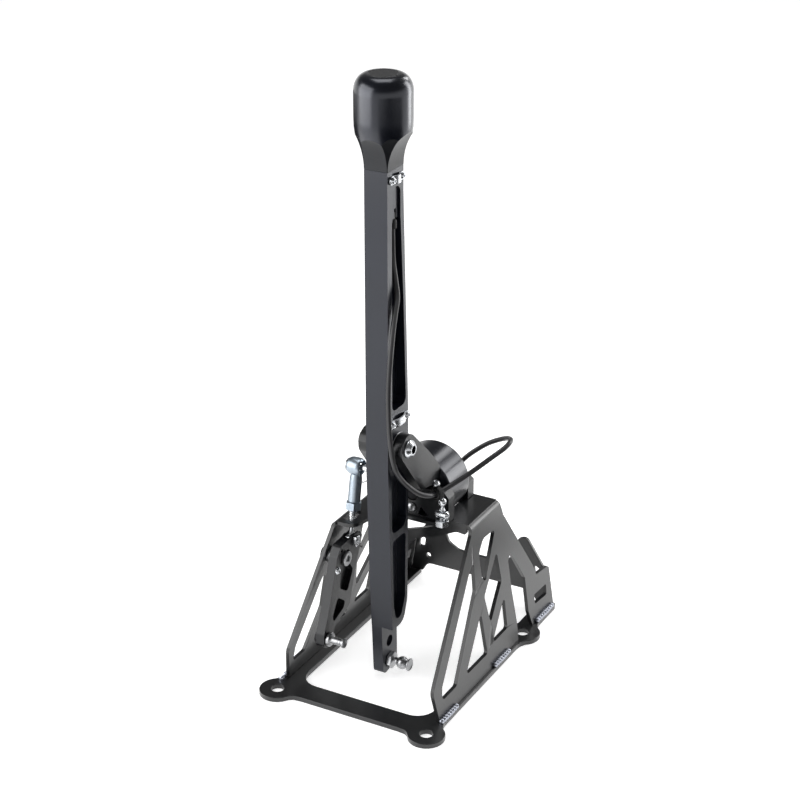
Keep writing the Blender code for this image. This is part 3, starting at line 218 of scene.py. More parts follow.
@dataclass(frozen=True)
class Anodised(Finish):
    """Black anodised aluminium: a thin glassy oxide over fine machining marks."""

    run: GrainRun = GrainRun.UPRIGHT
    mark_mm: float = 0.9
    mark_depth: float = 0.2
    oxide: float = 0.35
    drift: float = 0.06

    def dress(self, tree: bpy.types.NodeTree, shader: bpy.types.Node, in_mm: bpy.types.NodeSocket) -> None:
        """Stretched cutter marks under the oxide, with a slow drift of the dye."""
        stretch = tuple(value / self.mark_mm / 6.0 for value in self.run.value)
        along = add_node(tree, "ShaderNodeMapping", {"Scale": stretch}, {"Vector": in_mm})
        marks = add_node(tree, "ShaderNodeTexNoise", {"Scale": 1.0, "Detail": 4.0, "Roughness": 0.6},
                         {"Vector": along.outputs[0]})
        dye = add_node(tree, "ShaderNodeTexNoise", {"Scale": 1.0 / 55.0, "Detail": 2.0}, {"Vector": in_mm})
        self.tone(tree, shader, dye.outputs["Fac"])
        self.gloss(tree, shader, marks.outputs["Fac"], self.drift)
        self.relief(tree, shader, marks.outputs["Fac"], 0.03, self.mark_depth)
        shader.inputs["Coat Weight"].default_value = self.oxide
        shader.inputs["Coat Roughness"].default_value = 0.22


@dataclass(frozen=True)
class ZincPlate(Finish):
    """Bright passivated zinc on steel fasteners: cool silver with a faint haze."""

    haze_mm: float = 2.2

    def dress(self, tree: bpy.types.NodeTree, shader: bpy.types.Node, in_mm: bpy.types.NodeSocket) -> None:
        """A patchy haze in colour and gloss, and the fine frost of the plating."""
        haze = add_node(tree, "ShaderNodeTexNoise", {"Scale": 1.0 / self.haze_mm, "Detail": 3.0},
                        {"Vector": in_mm})
        frost = add_node(tree, "ShaderNodeTexNoise", {"Scale": 1.0 / 0.5, "Detail": 2.0}, {"Vector": in_mm})
        self.tone(tree, shader, haze.outputs["Fac"])
        self.gloss(tree, shader, haze.outputs["Fac"], 0.04)
        self.relief(tree, shader, frost.outputs["Fac"], 0.02, 0.03)


@dataclass(frozen=True)
class TurnedMetal(Finish):
    """Bare turned metal with the fine grain that the tool leaves."""

    feed_mm: float = 0.45

    def dress(self, tree: bpy.types.NodeTree, shader: bpy.types.Node, in_mm: bpy.types.NodeSocket) -> None:
        """Fine grain, drawn a little coarser than real so that it shows, and a slow drift of gloss."""
        feed = add_node(tree, "ShaderNodeTexNoise", {"Scale": 1.0 / self.feed_mm, "Detail": 2.0},
                        {"Vector": in_mm})
        drift = add_node(tree, "ShaderNodeTexNoise", {"Scale": 1.0 / 9.0, "Detail": 2.0}, {"Vector": in_mm})
        self.tone(tree, shader, drift.outputs["Fac"])
        self.gloss(tree, shader, drift.outputs["Fac"], 0.06)
        self.relief(tree, shader, feed.outputs["Fac"], 0.02, 0.25)


@dataclass(frozen=True)
class Elastomer(Finish):
    """Moulded rubber or extruded sheath: matt skin with a slight bloom."""

    skin_mm: float = 0.8

    def dress(self, tree: bpy.types.NodeTree, shader: bpy.types.Node, in_mm: bpy.types.NodeSocket) -> None:
        """Bloom in patches and the fine skin that the die leaves."""
        bloom = add_node(tree, "ShaderNodeTexNoise", {"Scale": 1.0 / 14.0, "Detail": 3.0},
                         {"Vector": in_mm})
        skin = add_node(tree, "ShaderNodeTexNoise", {"Scale": 1.0 / self.skin_mm, "Detail": 2.0},
                        {"Vector": in_mm})
        self.tone(tree, shader, bloom.outputs["Fac"])
        self.gloss(tree, shader, bloom.outputs["Fac"], 0.05)
        self.relief(tree, shader, skin.outputs["Fac"], 0.03, 0.3)


@dataclass(frozen=True)
class WeldMetal(Finish):
    """Fused weld steel under clear lacquer: bright, with a blue-grey heat tint."""

    tint: str = "#6a7186"

    def dress(self, tree: bpy.types.NodeTree, shader: bpy.types.Node, in_mm: bpy.types.NodeSocket) -> None:
        """Heat tint in distorted patches and a grainy surface."""
        heat = add_node(tree, "ShaderNodeTexNoise", {"Scale": 1.0 / 3.2, "Detail": 3.0, "Distortion": 0.6},
                        {"Vector": in_mm})
        grain = add_node(tree, "ShaderNodeTexNoise", {"Scale": 1.0 / 0.7, "Detail": 2.0}, {"Vector": in_mm})
        bright = add_node(tree, "ShaderNodeMix",
                          {"data_type": "RGBA", COLOUR_A: linear(self.dark), COLOUR_B: linear(self.light)},
                          {0: heat.outputs["Fac"]})
        tinted = add_node(tree, "ShaderNodeMix",
                          {"data_type": "RGBA", "blend_type": "MULTIPLY", COLOUR_B: linear(self.tint)},
                          {0: grain.outputs["Fac"], COLOUR_A: bright.outputs[COLOUR_OUT]})
        tree.links.new(tinted.outputs[COLOUR_OUT], shader.inputs["Base Color"])
        self.gloss(tree, shader, grain.outputs["Fac"], 0.1)
        self.relief(tree, shader, grain.outputs["Fac"], 0.05, 0.4)


# Polyester powder coat, baked: satin black, reads dark grey where it faces the light
SHEET_BLACK = PowderCoat("powder_coated_steel_sheet", "#0d0e0f", "#151618", 0.36, 0.0)
# Milled aluminium, black anodised: fine upright cutter marks, a soft sheen along the bar
LEVER_BLACK = Anodised("anodised_aluminium_milled_upright", "#13161e", "#1c202b", 0.34, 0.5)
# Milled plate, black anodised: even satin, seen on the fork, crank and bearing plates
PLATE_BLACK = Anodised("anodised_aluminium_milled_plate", "#111214", "#191a1d", 0.38, 0.4,
                       GrainRun.BEAD_BLAST)
# Turned aluminium, black anodised over a fine blast: even, with long highlights down the drum
DRUM_BLACK = Anodised("anodised_aluminium_turned_drum", "#15171d", "#1f222b", 0.28, 0.6,
                      GrainRun.BEAD_BLAST, 0.9, 0.015, 0.6, 0.015)
# Turned knob, black anodised and polished by hand: clear broad highlights
KNOB_BLACK = Anodised("anodised_aluminium_turned_knob", "#0e111b", "#191e2d", 0.30, 0.75, GrainRun.LEVEL,
                      0.9, 0.04, 1.0)
# The knob's milled facets: the same dye over a duller cut, so they stay darker than the turned body
FACET_BLACK = Anodised("anodised_aluminium_knob_facets", "#0d0f14", "#14171d", 0.44, 0.4,
                       GrainRun.BEAD_BLAST, 0.9, 0.04, 0.15)
# Zinc plated steel: cool bright silver of screws, nuts and studs
ZINC = ZincPlate("zinc_plated_steel", "#d0d3d8", "#eaecee", 0.25, 1.0)
# Zinc plate with a blue passivate: greyer and softer than the bright zinc, as on the link
BLUE_ZINC = ZincPlate("blue_passivated_zinc_steel", "#8793a0", "#bcc6ce", 0.36, 1.0)
# Turned stainless steel: warmer and a little duller than the zinc
STAINLESS = TurnedMetal("turned_stainless_steel", "#8f9093", "#c2c3c4", 0.30, 1.0)
# Sintered bronze: dull brown-gold bush faces
BRONZE = TurnedMetal("sintered_bronze", "#6e5430", "#8c6d41", 0.45, 1.0, 0.8)
# Steel with a black oxide skin from a hot bath: dark nuts that sink into the shadow behind the panels
BLACK_OXIDE = TurnedMetal("black_oxide_steel", "#1c1c1e", "#2a2a2c", 0.42, 0.9)
# Extruded nylon-lined cable outer: grey black with a soft line of light
SHEATH = Elastomer("extruded_cable_sheath", "#232325", "#303032", 0.33, 0.0)
# Moulded nitrile rubber: the deep matt black of the cable clip
RUBBER = Elastomer("moulded_nitrile_rubber", "#08080a", "#101011", 0.62, 0.0, 0.5)
# Weld bead, bare under lacquer: bright ripples against the black sheet
WELD = WeldMetal("rippled_weld_bead", "#b4b7c0", "#e9ebef", 0.28, 0.9, "#a9aebd")


# Making meshes

class Outline(Enum):
    """Shape of one level of a stacked piece, seen along its axis."""

    ROUND = "round"
    HEXAGON = "hexagon"


@dataclass(frozen=True)
class Level:
    """One ring of a stacked piece: its radius, or half its width across flats, and its height."""

    size: float
    height: float
    outline: Outline = Outline.ROUND
    dish: float = 0.0


def stack(levels: Sequence[Level], closed: bool = False, steps: int = ROUND_STEPS) -> bmesh.types.BMesh:
    """Bridge rings into a turned or hexagonal piece that stands on local Z.

    Args:
        levels: Rings from one end to the other, in millimetres.
        closed: True joins the last ring to the first, as on a washer or a nut.
        steps: Corners of each ring.

    Returns:
        The mesh, in millimetres, with outward faces.
    """
    shape = bmesh.new()
    rings: list[list[bmesh.types.BMEdge]] = []
    for level in levels:
        made = bmesh.ops.create_circle(shape, cap_ends=False, segments=steps, radius=1.0)["verts"]
        for vert in made:
            turn = math.atan2(vert.co.y, vert.co.x)
            reach = level.size
            if level.outline is Outline.HEXAGON:
                reach /= math.cos((turn % math.radians(60.0)) - math.radians(30.0))
            drop = level.dish * (reach - level.size)
            vert.co = Vector((reach * math.cos(turn), reach * math.sin(turn), level.height + drop))
        rings.append(list({edge for vert in made for edge in vert.link_edges}))
    pairs = list(zip(rings, rings[1:]))
    if closed:
        pairs.append((rings[-1], rings[0]))
    else:
        for ring in (rings[0], rings[-1]):
            bmesh.ops.edgeloop_fill(shape, edges=ring)
    for low, high in pairs:
        bmesh.ops.bridge_loops(shape, edges=low + high)
    bmesh.ops.recalc_face_normals(shape, faces=shape.faces[:])
    return shape


def turned(profile: Sequence[tuple[float, float]], closed: bool = False,
           steps: int = ROUND_STEPS) -> bmesh.types.BMesh:
    """Spin a profile of (radius, height) points full circle about local Z.

    Args:
        profile: Points in millimetres; a radius of zero is a pole.
        closed: True joins the last point to the first before the spin.
        steps: Steps of the full spin.

    Returns:
        The mesh, in millimetres, with outward faces.
    """
    shape = bmesh.new()
    verts = [shape.verts.new((radius, 0.0, height)) for radius, height in profile]
    pairs = list(zip(verts, verts[1:]))
    if closed:
        pairs.append((verts[-1], verts[0]))
    edges = [shape.edges.new(pair) for pair in pairs]
    bmesh.ops.spin(shape, geom=verts + edges, cent=(0.0, 0.0, 0.0), axis=(0.0, 0.0, 1.0),
                   angle=math.tau, steps=steps, use_merge=True)
    bmesh.ops.remove_doubles(shape, verts=shape.verts[:], dist=1e-4)
    bmesh.ops.recalc_face_normals(shape, faces=shape.faces[:])
    return shape


def stand(shape: bmesh.types.BMesh, centre: Sequence[float], axis: Sequence[float],
          spin_deg: float = 0.0) -> bmesh.types.BMesh:
    """Turn a piece so that local Z lies along an axis, then move it to its centre.

    Args:
        shape: Mesh in millimetres.
        centre: Where the local origin goes.
        axis: Direction that local Z takes.
        spin_deg: Turn about local Z first.

    Returns:
        The same mesh.
    """
    turn = Vector(axis).normalized().to_track_quat("Z", "Y").to_matrix().to_4x4()
    matrix = Matrix.Translation(Vector(centre)) @ turn @ Matrix.Rotation(math.radians(spin_deg), 4, "Z")
    bmesh.ops.transform(shape, matrix=matrix, verts=shape.verts[:])
    return shape


def merge_shapes(shapes: Iterable[bmesh.types.BMesh]) -> bmesh.types.BMesh:
    """Put several meshes into one.

    Args:
        shapes: Meshes to gather; each is freed.

    Returns:
        One mesh with all their faces.
    """
    whole = bmesh.new()
    for shape in shapes:
        holder = bpy.data.meshes.new("holder")
        shape.to_mesh(holder)
        shape.free()
        whole.from_mesh(holder)
        bpy.data.meshes.remove(holder)
    return whole


def crease(shape: bmesh.types.BMesh, limit_deg: float) -> None:
    """Shade a mesh smooth and keep its edges crisp above an angle."""
    limit = math.radians(limit_deg)
    for face in shape.faces:
        face.smooth = True
    for edge in shape.edges:
        edge.smooth = edge.calc_face_angle(0.0) < limit


def settle(shape: bmesh.types.BMesh, name: str, finish: Finish, body: str, replaces: Sequence[str] = (),
           limit_deg: float = 34.0) -> bpy.types.Object:
    """Turn a mesh in millimetres into a piece that rides on a body, with its flat faces shaded flat.

    Args:
        shape: Finished mesh; it is freed.
        name: Name of the piece.
        finish: What it is made of.
        body: Moving body that carries it.
        replaces: CAD nodes that it stands for.
        limit_deg: Angle above which an edge stays crisp.

    Returns:
        The piece.
    """
    crease(shape, limit_deg)
    bmesh.ops.scale(shape, vec=(MM, MM, MM), verts=shape.verts[:])
    mesh = bpy.data.meshes.new(name)
    shape.to_mesh(mesh)
    shape.free()
    piece = bpy.data.objects.new(name, mesh)
    bpy.context.scene.collection.objects.link(piece)
    mesh.materials.append(finish.material())
    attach(piece, body)
    if replaces:
        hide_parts(*replaces)
    level_faces(piece)
    LOG.info("piece %s: %d faces", name, len(mesh.polygons))
    return piece


def ease_edges(shape: bmesh.types.BMesh, width: float, corner_deg: float, segments: int = 2) -> None:
    """Round every edge sharper than an angle.

    Args:
        shape: Closed mesh in millimetres.
        width: Width of the rounding.
        corner_deg: Smallest angle that counts as an edge.
        segments: Facets across the rounding.
    """
    limit = math.radians(corner_deg)
    sharp = [edge for edge in shape.edges if edge.is_manifold and edge.calc_face_angle(0.0) > limit]
    bmesh.ops.bevel(shape, geom=sharp, offset=width, offset_type="OFFSET", affect="EDGES",
                    segments=segments, profile=0.5, material=-1, clamp_overlap=True)


def level_faces(piece: bpy.types.Object) -> None:
    """Weigh the shading by face area, so that flat faces stay flat beside their rounded edges."""
    step = piece.modifiers.new("level_faces", "WEIGHTED_NORMAL")
    step.mode = "FACE_AREA"
    step.weight = 50
    step.keep_sharp = True


def eased_copy(frame: dict, node: str, suffix: str, finish: Finish, width: float, corner_deg: float = 40.0,
               change: Optional[Callable[[bmesh.types.BMesh], None]] = None) -> bpy.types.Object:
    """Copy a CAD node, merge it, round its edges and let the copy stand for it.

    Args:
        node: Name of the CAD node.
        suffix: Added to the node's name.
        finish: What the piece is made of.
        width: Width of the rounded edges in millimetres.
        corner_deg: Smallest angle that is rounded.
        change: Further work on the mesh before its edges are rounded.

    Returns:
        The piece.
    """
    shape = bmesh.new()
    shape.from_mesh(frame["nodes"][node].data)
    bmesh.ops.scale(shape, vec=(1.0 / MM, 1.0 / MM, 1.0 / MM), verts=shape.verts[:])
    bmesh.ops.remove_doubles(shape, verts=shape.verts[:], dist=0.002)
    bmesh.ops.dissolve_limit(shape, angle_limit=math.radians(0.6), verts=shape.verts[:],
                             edges=shape.edges[:])
    if change is not None:
        change(shape)
    ease_edges(shape, width, corner_deg)
    return settle(shape, node + "_" + suffix, finish, frame["nodes"][node]["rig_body"], [node], 50.0)


def middle(node: str) -> Vector:
    """Centre of a CAD node's box, in millimetres."""
    low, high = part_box(node)
    return (low + high) * (0.5 / MM)


def span(node: str, axis: int) -> tuple[float, float]:
    """Lowest and highest place of a CAD node along one axis, in millimetres."""
    low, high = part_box(node)
    return low[axis] / MM, high[axis] / MM


def high_face(node: str) -> float:
    """Place of a CAD node's right-hand face along X, in millimetres."""
    return span(node, 0)[1]


# Fasteners

@dataclass(frozen=True)
class ButtonHead:
    """Domed screw with a hexagon socket; local Z points out of the head and zero is its seat."""

    head: float
    rise: float
    socket: float
    shank: float
    length: float

    def mesh(self) -> bmesh.types.BMesh:
        """Dome, socket and shank as one stack."""
        dome = [Level(self.head * math.cos(t), 0.35 + (self.rise - 0.35) * math.sin(t))
                for t in (0.0, 0.2, 0.42, 0.65, 0.85)]
        rim = self.socket * SOCKET_RIM
        levels = [Level(self.shank - 0.3, -self.length), Level(self.shank, -self.length + 0.4),
                  Level(self.shank, 0.0), Level(self.head - 0.2, 0.0), Level(self.head, 0.2), *dome[:4],
                  Level(max(rim + 0.5, self.head * 0.62), self.rise), Level(rim + 0.1, self.rise),
                  Level(self.socket * 0.5, self.rise - 0.3, Outline.HEXAGON),
                  Level(self.socket * 0.5, self.rise - min(2.0, self.rise * 0.75), Outline.HEXAGON)]
        return stack(levels)


@dataclass(frozen=True)
class CapHead:
    """Socket cap screw with a knurled rim; zero is its seat."""

    head: float
    rise: float
    socket: float
    shank: float
    length: float
    knurl: float = 0.22

    def mesh(self) -> bmesh.types.BMesh:
        """Cylinder head with a socket, and its knurl pressed in on every second corner."""
        rim = self.socket * SOCKET_RIM
        levels = [Level(self.shank - 0.3, -self.length), Level(self.shank, -self.length + 0.4),
                  Level(self.shank, 0.0), Level(self.head - 0.3, 0.0), Level(self.head, 0.3),
                  Level(self.head, self.rise - 0.5), Level(self.head - 0.45, self.rise),
                  Level(rim + 0.15, self.rise), Level(self.socket * 0.5, self.rise - 0.35, Outline.HEXAGON),
                  Level(self.socket * 0.5, self.rise * 0.8, Outline.HEXAGON)]
        shape = stack(levels)
        for vert in shape.verts:
            flat = Vector((vert.co.x, vert.co.y))
            turn = round(math.degrees(math.atan2(flat.y, flat.x)) / (360.0 / ROUND_STEPS))
            if turn % 2 and 0.2 < vert.co.z < self.rise - 0.4 and flat.length > self.head - 0.1:
                vert.co.x *= 1.0 - self.knurl / self.head
                vert.co.y *= 1.0 - self.knurl / self.head
        return shape


@dataclass(frozen=True)
class HexNut:
    """Hexagon nut with turned chamfers; zero is its lower face."""

    flats: float
    height: float
    bore: float
    chamfer: float = 0.45
    corner_drop: float = 0.35

    def mesh(self) -> bmesh.types.BMesh:
        """Chamfers drop at the corners, as a turned chamfer cuts them."""
        half = self.flats * 0.5
        face = half * 0.95
        levels = [Level(self.bore, 0.5), Level(self.bore + self.chamfer, 0.0), Level(face, 0.0),
                  Level(half, 0.1, Outline.HEXAGON, self.corner_drop),
                  Level(half, self.height - 0.1, Outline.HEXAGON, -self.corner_drop),
                  Level(face, self.height), Level(self.bore + self.chamfer, self.height),
                  Level(self.bore, self.height - 0.5)]
        return stack(levels, closed=True)


@dataclass(frozen=True)
class Thread:
    """Length of screw thread drawn as close ridges; zero is its lower end."""

    radius: float
    length: float
    pitch: float = 1.0
    depth: float = 0.35
    lead_in: float = 0.4

    def mesh(self) -> bmesh.types.BMesh:
        """Ridges of the real pitch with a lead-in at each end."""
        profile = [(0.0, 0.0), (self.radius - 0.5, 0.0)]
        turns = max(1, int((self.length - 2.0 * self.lead_in) / self.pitch))
        step = (self.length - 2.0 * self.lead_in) / turns
        for i in range(turns):
            base = self.lead_in + i * step
            profile += [(self.radius - self.depth, base), (self.radius, base + step * 0.45),
                        (self.radius, base + step * 0.6)]
        profile += [(self.radius - self.depth, self.length - self.lead_in),
                    (self.radius - 0.6, self.length), (0.0, self.length)]
        return turned(profile, steps=32)


@dataclass(frozen=True)
class BallStud:
    """Ball stud from its threaded end to the small flange past the ball; zero is the hexagon's seat."""

    tail: float
    shank: float
    hexagon: float
    hexagon_height: float
    ball: float
    ball_at: float
    flange: float
    end: float

    def mesh(self) -> bmesh.types.BMesh:
        """Tail, hexagon, neck, ball and end flange in one stack."""
        half = self.hexagon * 0.5
        neck = self.ball * 0.58
        levels = [Level(self.shank - 0.5, -self.tail), Level(self.shank, -self.tail + 0.5),
                  Level(self.shank, 0.0), Level(half * 0.94, 0.0), Level(half, 0.1, Outline.HEXAGON, 0.35),
                  Level(half, self.hexagon_height - 0.1, Outline.HEXAGON, -0.35),
                  Level(half * 0.9, self.hexagon_height), Level(neck + 0.5, self.hexagon_height + 0.4),
                  Level(neck, self.hexagon_height + 1.2)]
        for i in range(13):
            turn = math.radians(145.0 - 110.0 * i / 12.0)
            levels.append(Level(self.ball * math.sin(turn), self.ball_at + self.ball * math.cos(turn)))
        levels += [Level(neck, self.end - 2.6), Level(self.flange - 0.6, self.end - 1.3),
                   Level(self.flange, self.end - 0.9), Level(self.flange, self.end - 0.3),
                   Level(self.flange - 0.3, self.end), Level(neck, self.end - 1.0)]
        return stack(levels)


@dataclass(frozen=True)
class CollarPin:
    """Cable pin with a collar, a shank with two fine grooves and a lipped end; zero is its seat."""

    tail: float
    shank: float
    collar: float
    lip: float
    end: float

    def mesh(self) -> bmesh.types.BMesh:
        """Tail, collar, shank, grooves and lip as one profile."""
        profile = [(0.0, -self.tail), (self.shank - 0.5, -self.tail), (self.shank, -self.tail + 0.5),
                   (self.shank, 0.0), (self.collar - 0.4, 0.0), (self.collar, 0.4), (self.collar, 2.2),
                   (self.collar - 0.5, 2.7), (self.shank + 0.5, 2.9), (self.shank, 3.5)]
        for groove in (self.end - 5.4, self.end - 3.2):
            profile += [(self.shank, groove - 0.35), (self.shank - 0.35, groove - 0.2),
                        (self.shank - 0.35, groove + 0.2), (self.shank, groove + 0.35)]
        profile += [(self.shank, self.end - 1.9), (self.lip, self.end - 1.3), (self.lip, self.end - 0.5),
                    (self.lip - 0.5, self.end), (self.lip - 1.6, self.end),
                    (self.lip - 2.0, self.end - 0.5), (0.0, self.end - 0.5)]
        return turned(profile)


# Sub-assemblies

@dataclass
class BaseAndBridge:
    """Base plate, folded trussed bridge, rear cable anchor and the welds that join them."""

    frame: dict
    edge: float = 0.45
    foot_x: float = 68.9
    foot_z: float = 5.3
    bead: float = 2.6
    ripple: float = 3.3
    weld_runs: tuple[tuple[float, float], ...] = ((-67.0, -40.0), (24.0, 51.0), (102.0, 133.0))
    left_tack: tuple[float, float] = (-73.6, -69.8)
    well_bottom: float = 120.0
    well_step: float = 126.0
    well_edge: tuple[float, float] = (21.5, 26.0)
    well_end: float = 2.0
    upper_shift: float = 2.05
    lower_shift: float = 4.9

    def weld_bead(self, side: float, start: float, end: float) -> bmesh.types.BMesh:
        """One bead along a panel's foot: a turned bar with a ripple for each drop of weld.

        Args:
            side: 1.0 for the right panel and -1.0 for the left.
            start: Front end along Y in millimetres.
            end: Rear end along Y in millimetres.

        Returns:
            The bead's mesh.
        """
        length = end - start
        drops = max(2, int(length / self.ripple))
        step = length / drops
        profile = [(0.0, 0.0)]
        for i in range(drops):
            lift = self.bead * (1.0 - 0.35 * abs((i + 0.5) / drops - 0.5))
            profile += [(lift * 0.66, (i + 0.08) * step), (lift, (i + 0.45) * step),
                        (lift * 0.9, (i + 0.8) * step)]
        profile.append((0.0, length))
        bead = turned(profile, steps=20)
        return stand(bead, (side * self.foot_x, start, self.foot_z), (0.0, 1.0, 0.0))

    def close_well(self, shape: bmesh.types.BMesh) -> None:
        """Bring the long edges of the drum's well in the deck closer to the drum."""
        drum = span("yoke_drum", 1)
        for vert in shape.verts:
            on_edge = self.well_edge[0] < abs(vert.co.x) < self.well_edge[1]
            beside_drum = drum[0] - self.well_end < vert.co.y < drum[1] + self.well_end
            if vert.co.z > self.well_bottom and on_edge and beside_drum:
                shift = self.upper_shift if vert.co.z > self.well_step else self.lower_shift
                vert.co.x -= math.copysign(shift, vert.co.x)

    def build(self) -> None:
        """Dress the sheet parts and lay the weld beads."""
        eased_copy(self.frame, "base_plate", "coated", SHEET_BLACK, self.edge)
        eased_copy(self.frame, "bridge_bracket", "coated", SHEET_BLACK, self.edge, change=self.close_well)
        eased_copy(self.frame, "cable_anchor", "coated", SHEET_BLACK, self.edge)
        for side, label in ((1.0, "right"), (-1.0, "left")):
            tack = (self.left_tack,) if side < 0.0 else ()
            beads = merge_shapes(self.weld_bead(side, start, end) for start, end in self.weld_runs + tack)
            settle(beads, "foot_welds_" + label, WELD, "frame", limit_deg=50.0)


@dataclass
class RollBearing:
    """Two bearing plates, the roll shaft with its socket head, and their screws."""

    frame: dict
    edge: float = 0.7
    shaft: float = 5.0
    head: float = 8.4
    head_height: float = 4.3
    half_socket: float = 2.9
    screw_rise: float = 2.3

    def build(self) -> None:
        """Dress the plates and make the shaft and the screws."""
        for node in ("front_bearing_plate", "rear_bearing_plate"):
            eased_copy(self.frame, node, "milled", PLATE_BLACK, self.edge)
        front, back = span("roll_shaft", 1)
        centre = middle("roll_shaft")
        shaft = stack([Level(self.shaft - 0.6, front), Level(self.shaft, front + 0.6),
                       Level(self.shaft, back - self.head_height),
                       Level(self.head - 0.4, back - self.head_height),
                       Level(self.head, back - self.head_height + 0.4), Level(self.head, back - 1.0),
                       Level(self.head - 0.8, back), Level(3.6, back),
                       Level(self.half_socket, back - 0.5, Outline.HEXAGON),
                       Level(self.half_socket, back - 3.2, Outline.HEXAGON)])
        stand(shaft, (centre.x, 0.0, centre.z), (0.0, 1.0, 0.0))
        settle(shaft, "roll_shaft_turned", BLACK_OXIDE, "frame", ["roll_shaft"])
        seat = span("bearing_face_screw", 1)[1]
        centre = middle("bearing_face_screw")
        dome = turned([(0.0, 0.0), (3.7, 0.0), (3.9, 0.2), (3.8, 0.8), (3.3, 1.5), (2.4, 2.1), (1.2, 2.4),
                       (0.0, 2.5)])
        stand(dome, (centre.x, seat, centre.z), (0.0, -1.0, 0.0))
        settle(dome, "bearing_face_dome", STAINLESS, "frame", ["bearing_face_screw"])
        for i in range(1, 5):
            node = "bearing_screw_%d" % i
            centre = middle(node)
            low, high = span(node, 2)
            screw = ButtonHead(4.3, self.screw_rise, 3.0, 2.2, high - low - self.screw_rise).mesh()
            stand(screw, (centre.x, centre.y, low + self.screw_rise), (0.0, 0.0, -1.0))
            settle(screw, node + "_button", ZINC, "frame", [node])


@dataclass
class YokeAssembly:
    """Fork, drum, bushes, pivot bolt and the ball pin for the select link."""

    frame: dict
    edge: float = 0.8
    cap_rise: float = 3.7
    bolt_rise: float = 3.9

    def build(self) -> None:
        """Dress the fork and drum and make the fasteners."""
        eased_copy(self.frame, "yoke_fork", "milled", PLATE_BLACK, self.edge)
        self.build_drum()
        for node in ("drum_bush_front", "drum_bush_rear"):
            eased_copy(self.frame, node, "sintered", BRONZE, 0.3)
        for node in ("drum_screw_left", "drum_screw_right"):
            low, high = span(node, 1)
            centre = middle(node)
            screw = CapHead(4.1, self.cap_rise, 3.0, 2.0, high - low - self.cap_rise).mesh()
            stand(screw, (centre.x, low + self.cap_rise, centre.z), (0.0, -1.0, 0.0))
            settle(screw, node + "_cap", ZINC, "yoke", [node])
        seat = span("pivot_nut", 0)[1]
        high = high_face("pivot_bolt")
        centre = middle("pivot_bolt")
        bolt = ButtonHead(7.0, self.bolt_rise, 5.0, 4.0, high - self.bolt_rise - seat + 2.8).mesh()
        stand(bolt, (high - self.bolt_rise, centre.y, centre.z), (1.0, 0.0, 0.0), 12.0)
        settle(bolt, "pivot_button_bolt", ZINC, "yoke", ["pivot_bolt"])
        nut = HexNut(12.0, 2.6, 4.1).mesh()
        stand(nut, (seat, centre.y, centre.z), (-1.0, 0.0, 0.0))
        settle(nut, "pivot_low_nut", BLACK_OXIDE, "yoke", ["pivot_nut"])
        self.build_ball_pin()

    def build_drum(self) -> None:
        """Turned drum with broken corners and a shallow recess in its rear face."""
        front, back = span("yoke_drum", 1)
        centre = middle("yoke_drum")
        radius = (span("yoke_drum", 0)[1] - span("yoke_drum", 0)[0]) * 0.5
        profile = [(8.2, front), (radius - 0.9, front), (radius - 0.3, front + 0.3), (radius, front + 0.9),
                   (radius, front + 1.3), (radius, back - 1.6), (radius, back - 1.2),
                   (radius - 0.35, back - 0.35), (radius - 1.2, back), (radius - 6.0, back),
                   (radius - 6.6, back - 0.5), (12.0, back - 0.5), (11.4, back), (8.2, back)]
        drum = turned(profile, closed=True, steps=96)
        stand(drum, (centre.x, 0.0, centre.z), (0.0, 1.0, 0.0))
        settle(drum, "yoke_drum_turned", DRUM_BLACK, "yoke", ["yoke_drum"], 28.0)

    def build_ball_pin(self) -> None:
        """Pin from the left arm with a collar and a ball inside the link's socket."""
        low, high = span("link_ball_pin", 0)
        centre = middle("link_ball_pin")
        ball = 4.6
        ball_at = high - low - 5.0
        profile = [(0.0, 0.0), (2.4, 0.0), (2.7, 0.4), (2.7, 5.3), (4.6, 5.3), (4.6, 8.8), (3.4, 9.6),
                   (2.8, 12.0)]
        for i in range(12):
            turn = math.radians(146.0 - 146.0 * i / 11.0)
            profile.append((ball * math.sin(turn), ball_at + ball * math.cos(turn)))
        profile[-1] = (0.0, ball_at + ball)
        pin = turned(profile)
        stand(pin, (high, centre.y, centre.z), (-1.0, 0.0, 0.0))
        settle(pin, "link_ball_pin_turned", ZINC, "yoke", ["link_ball_pin"])


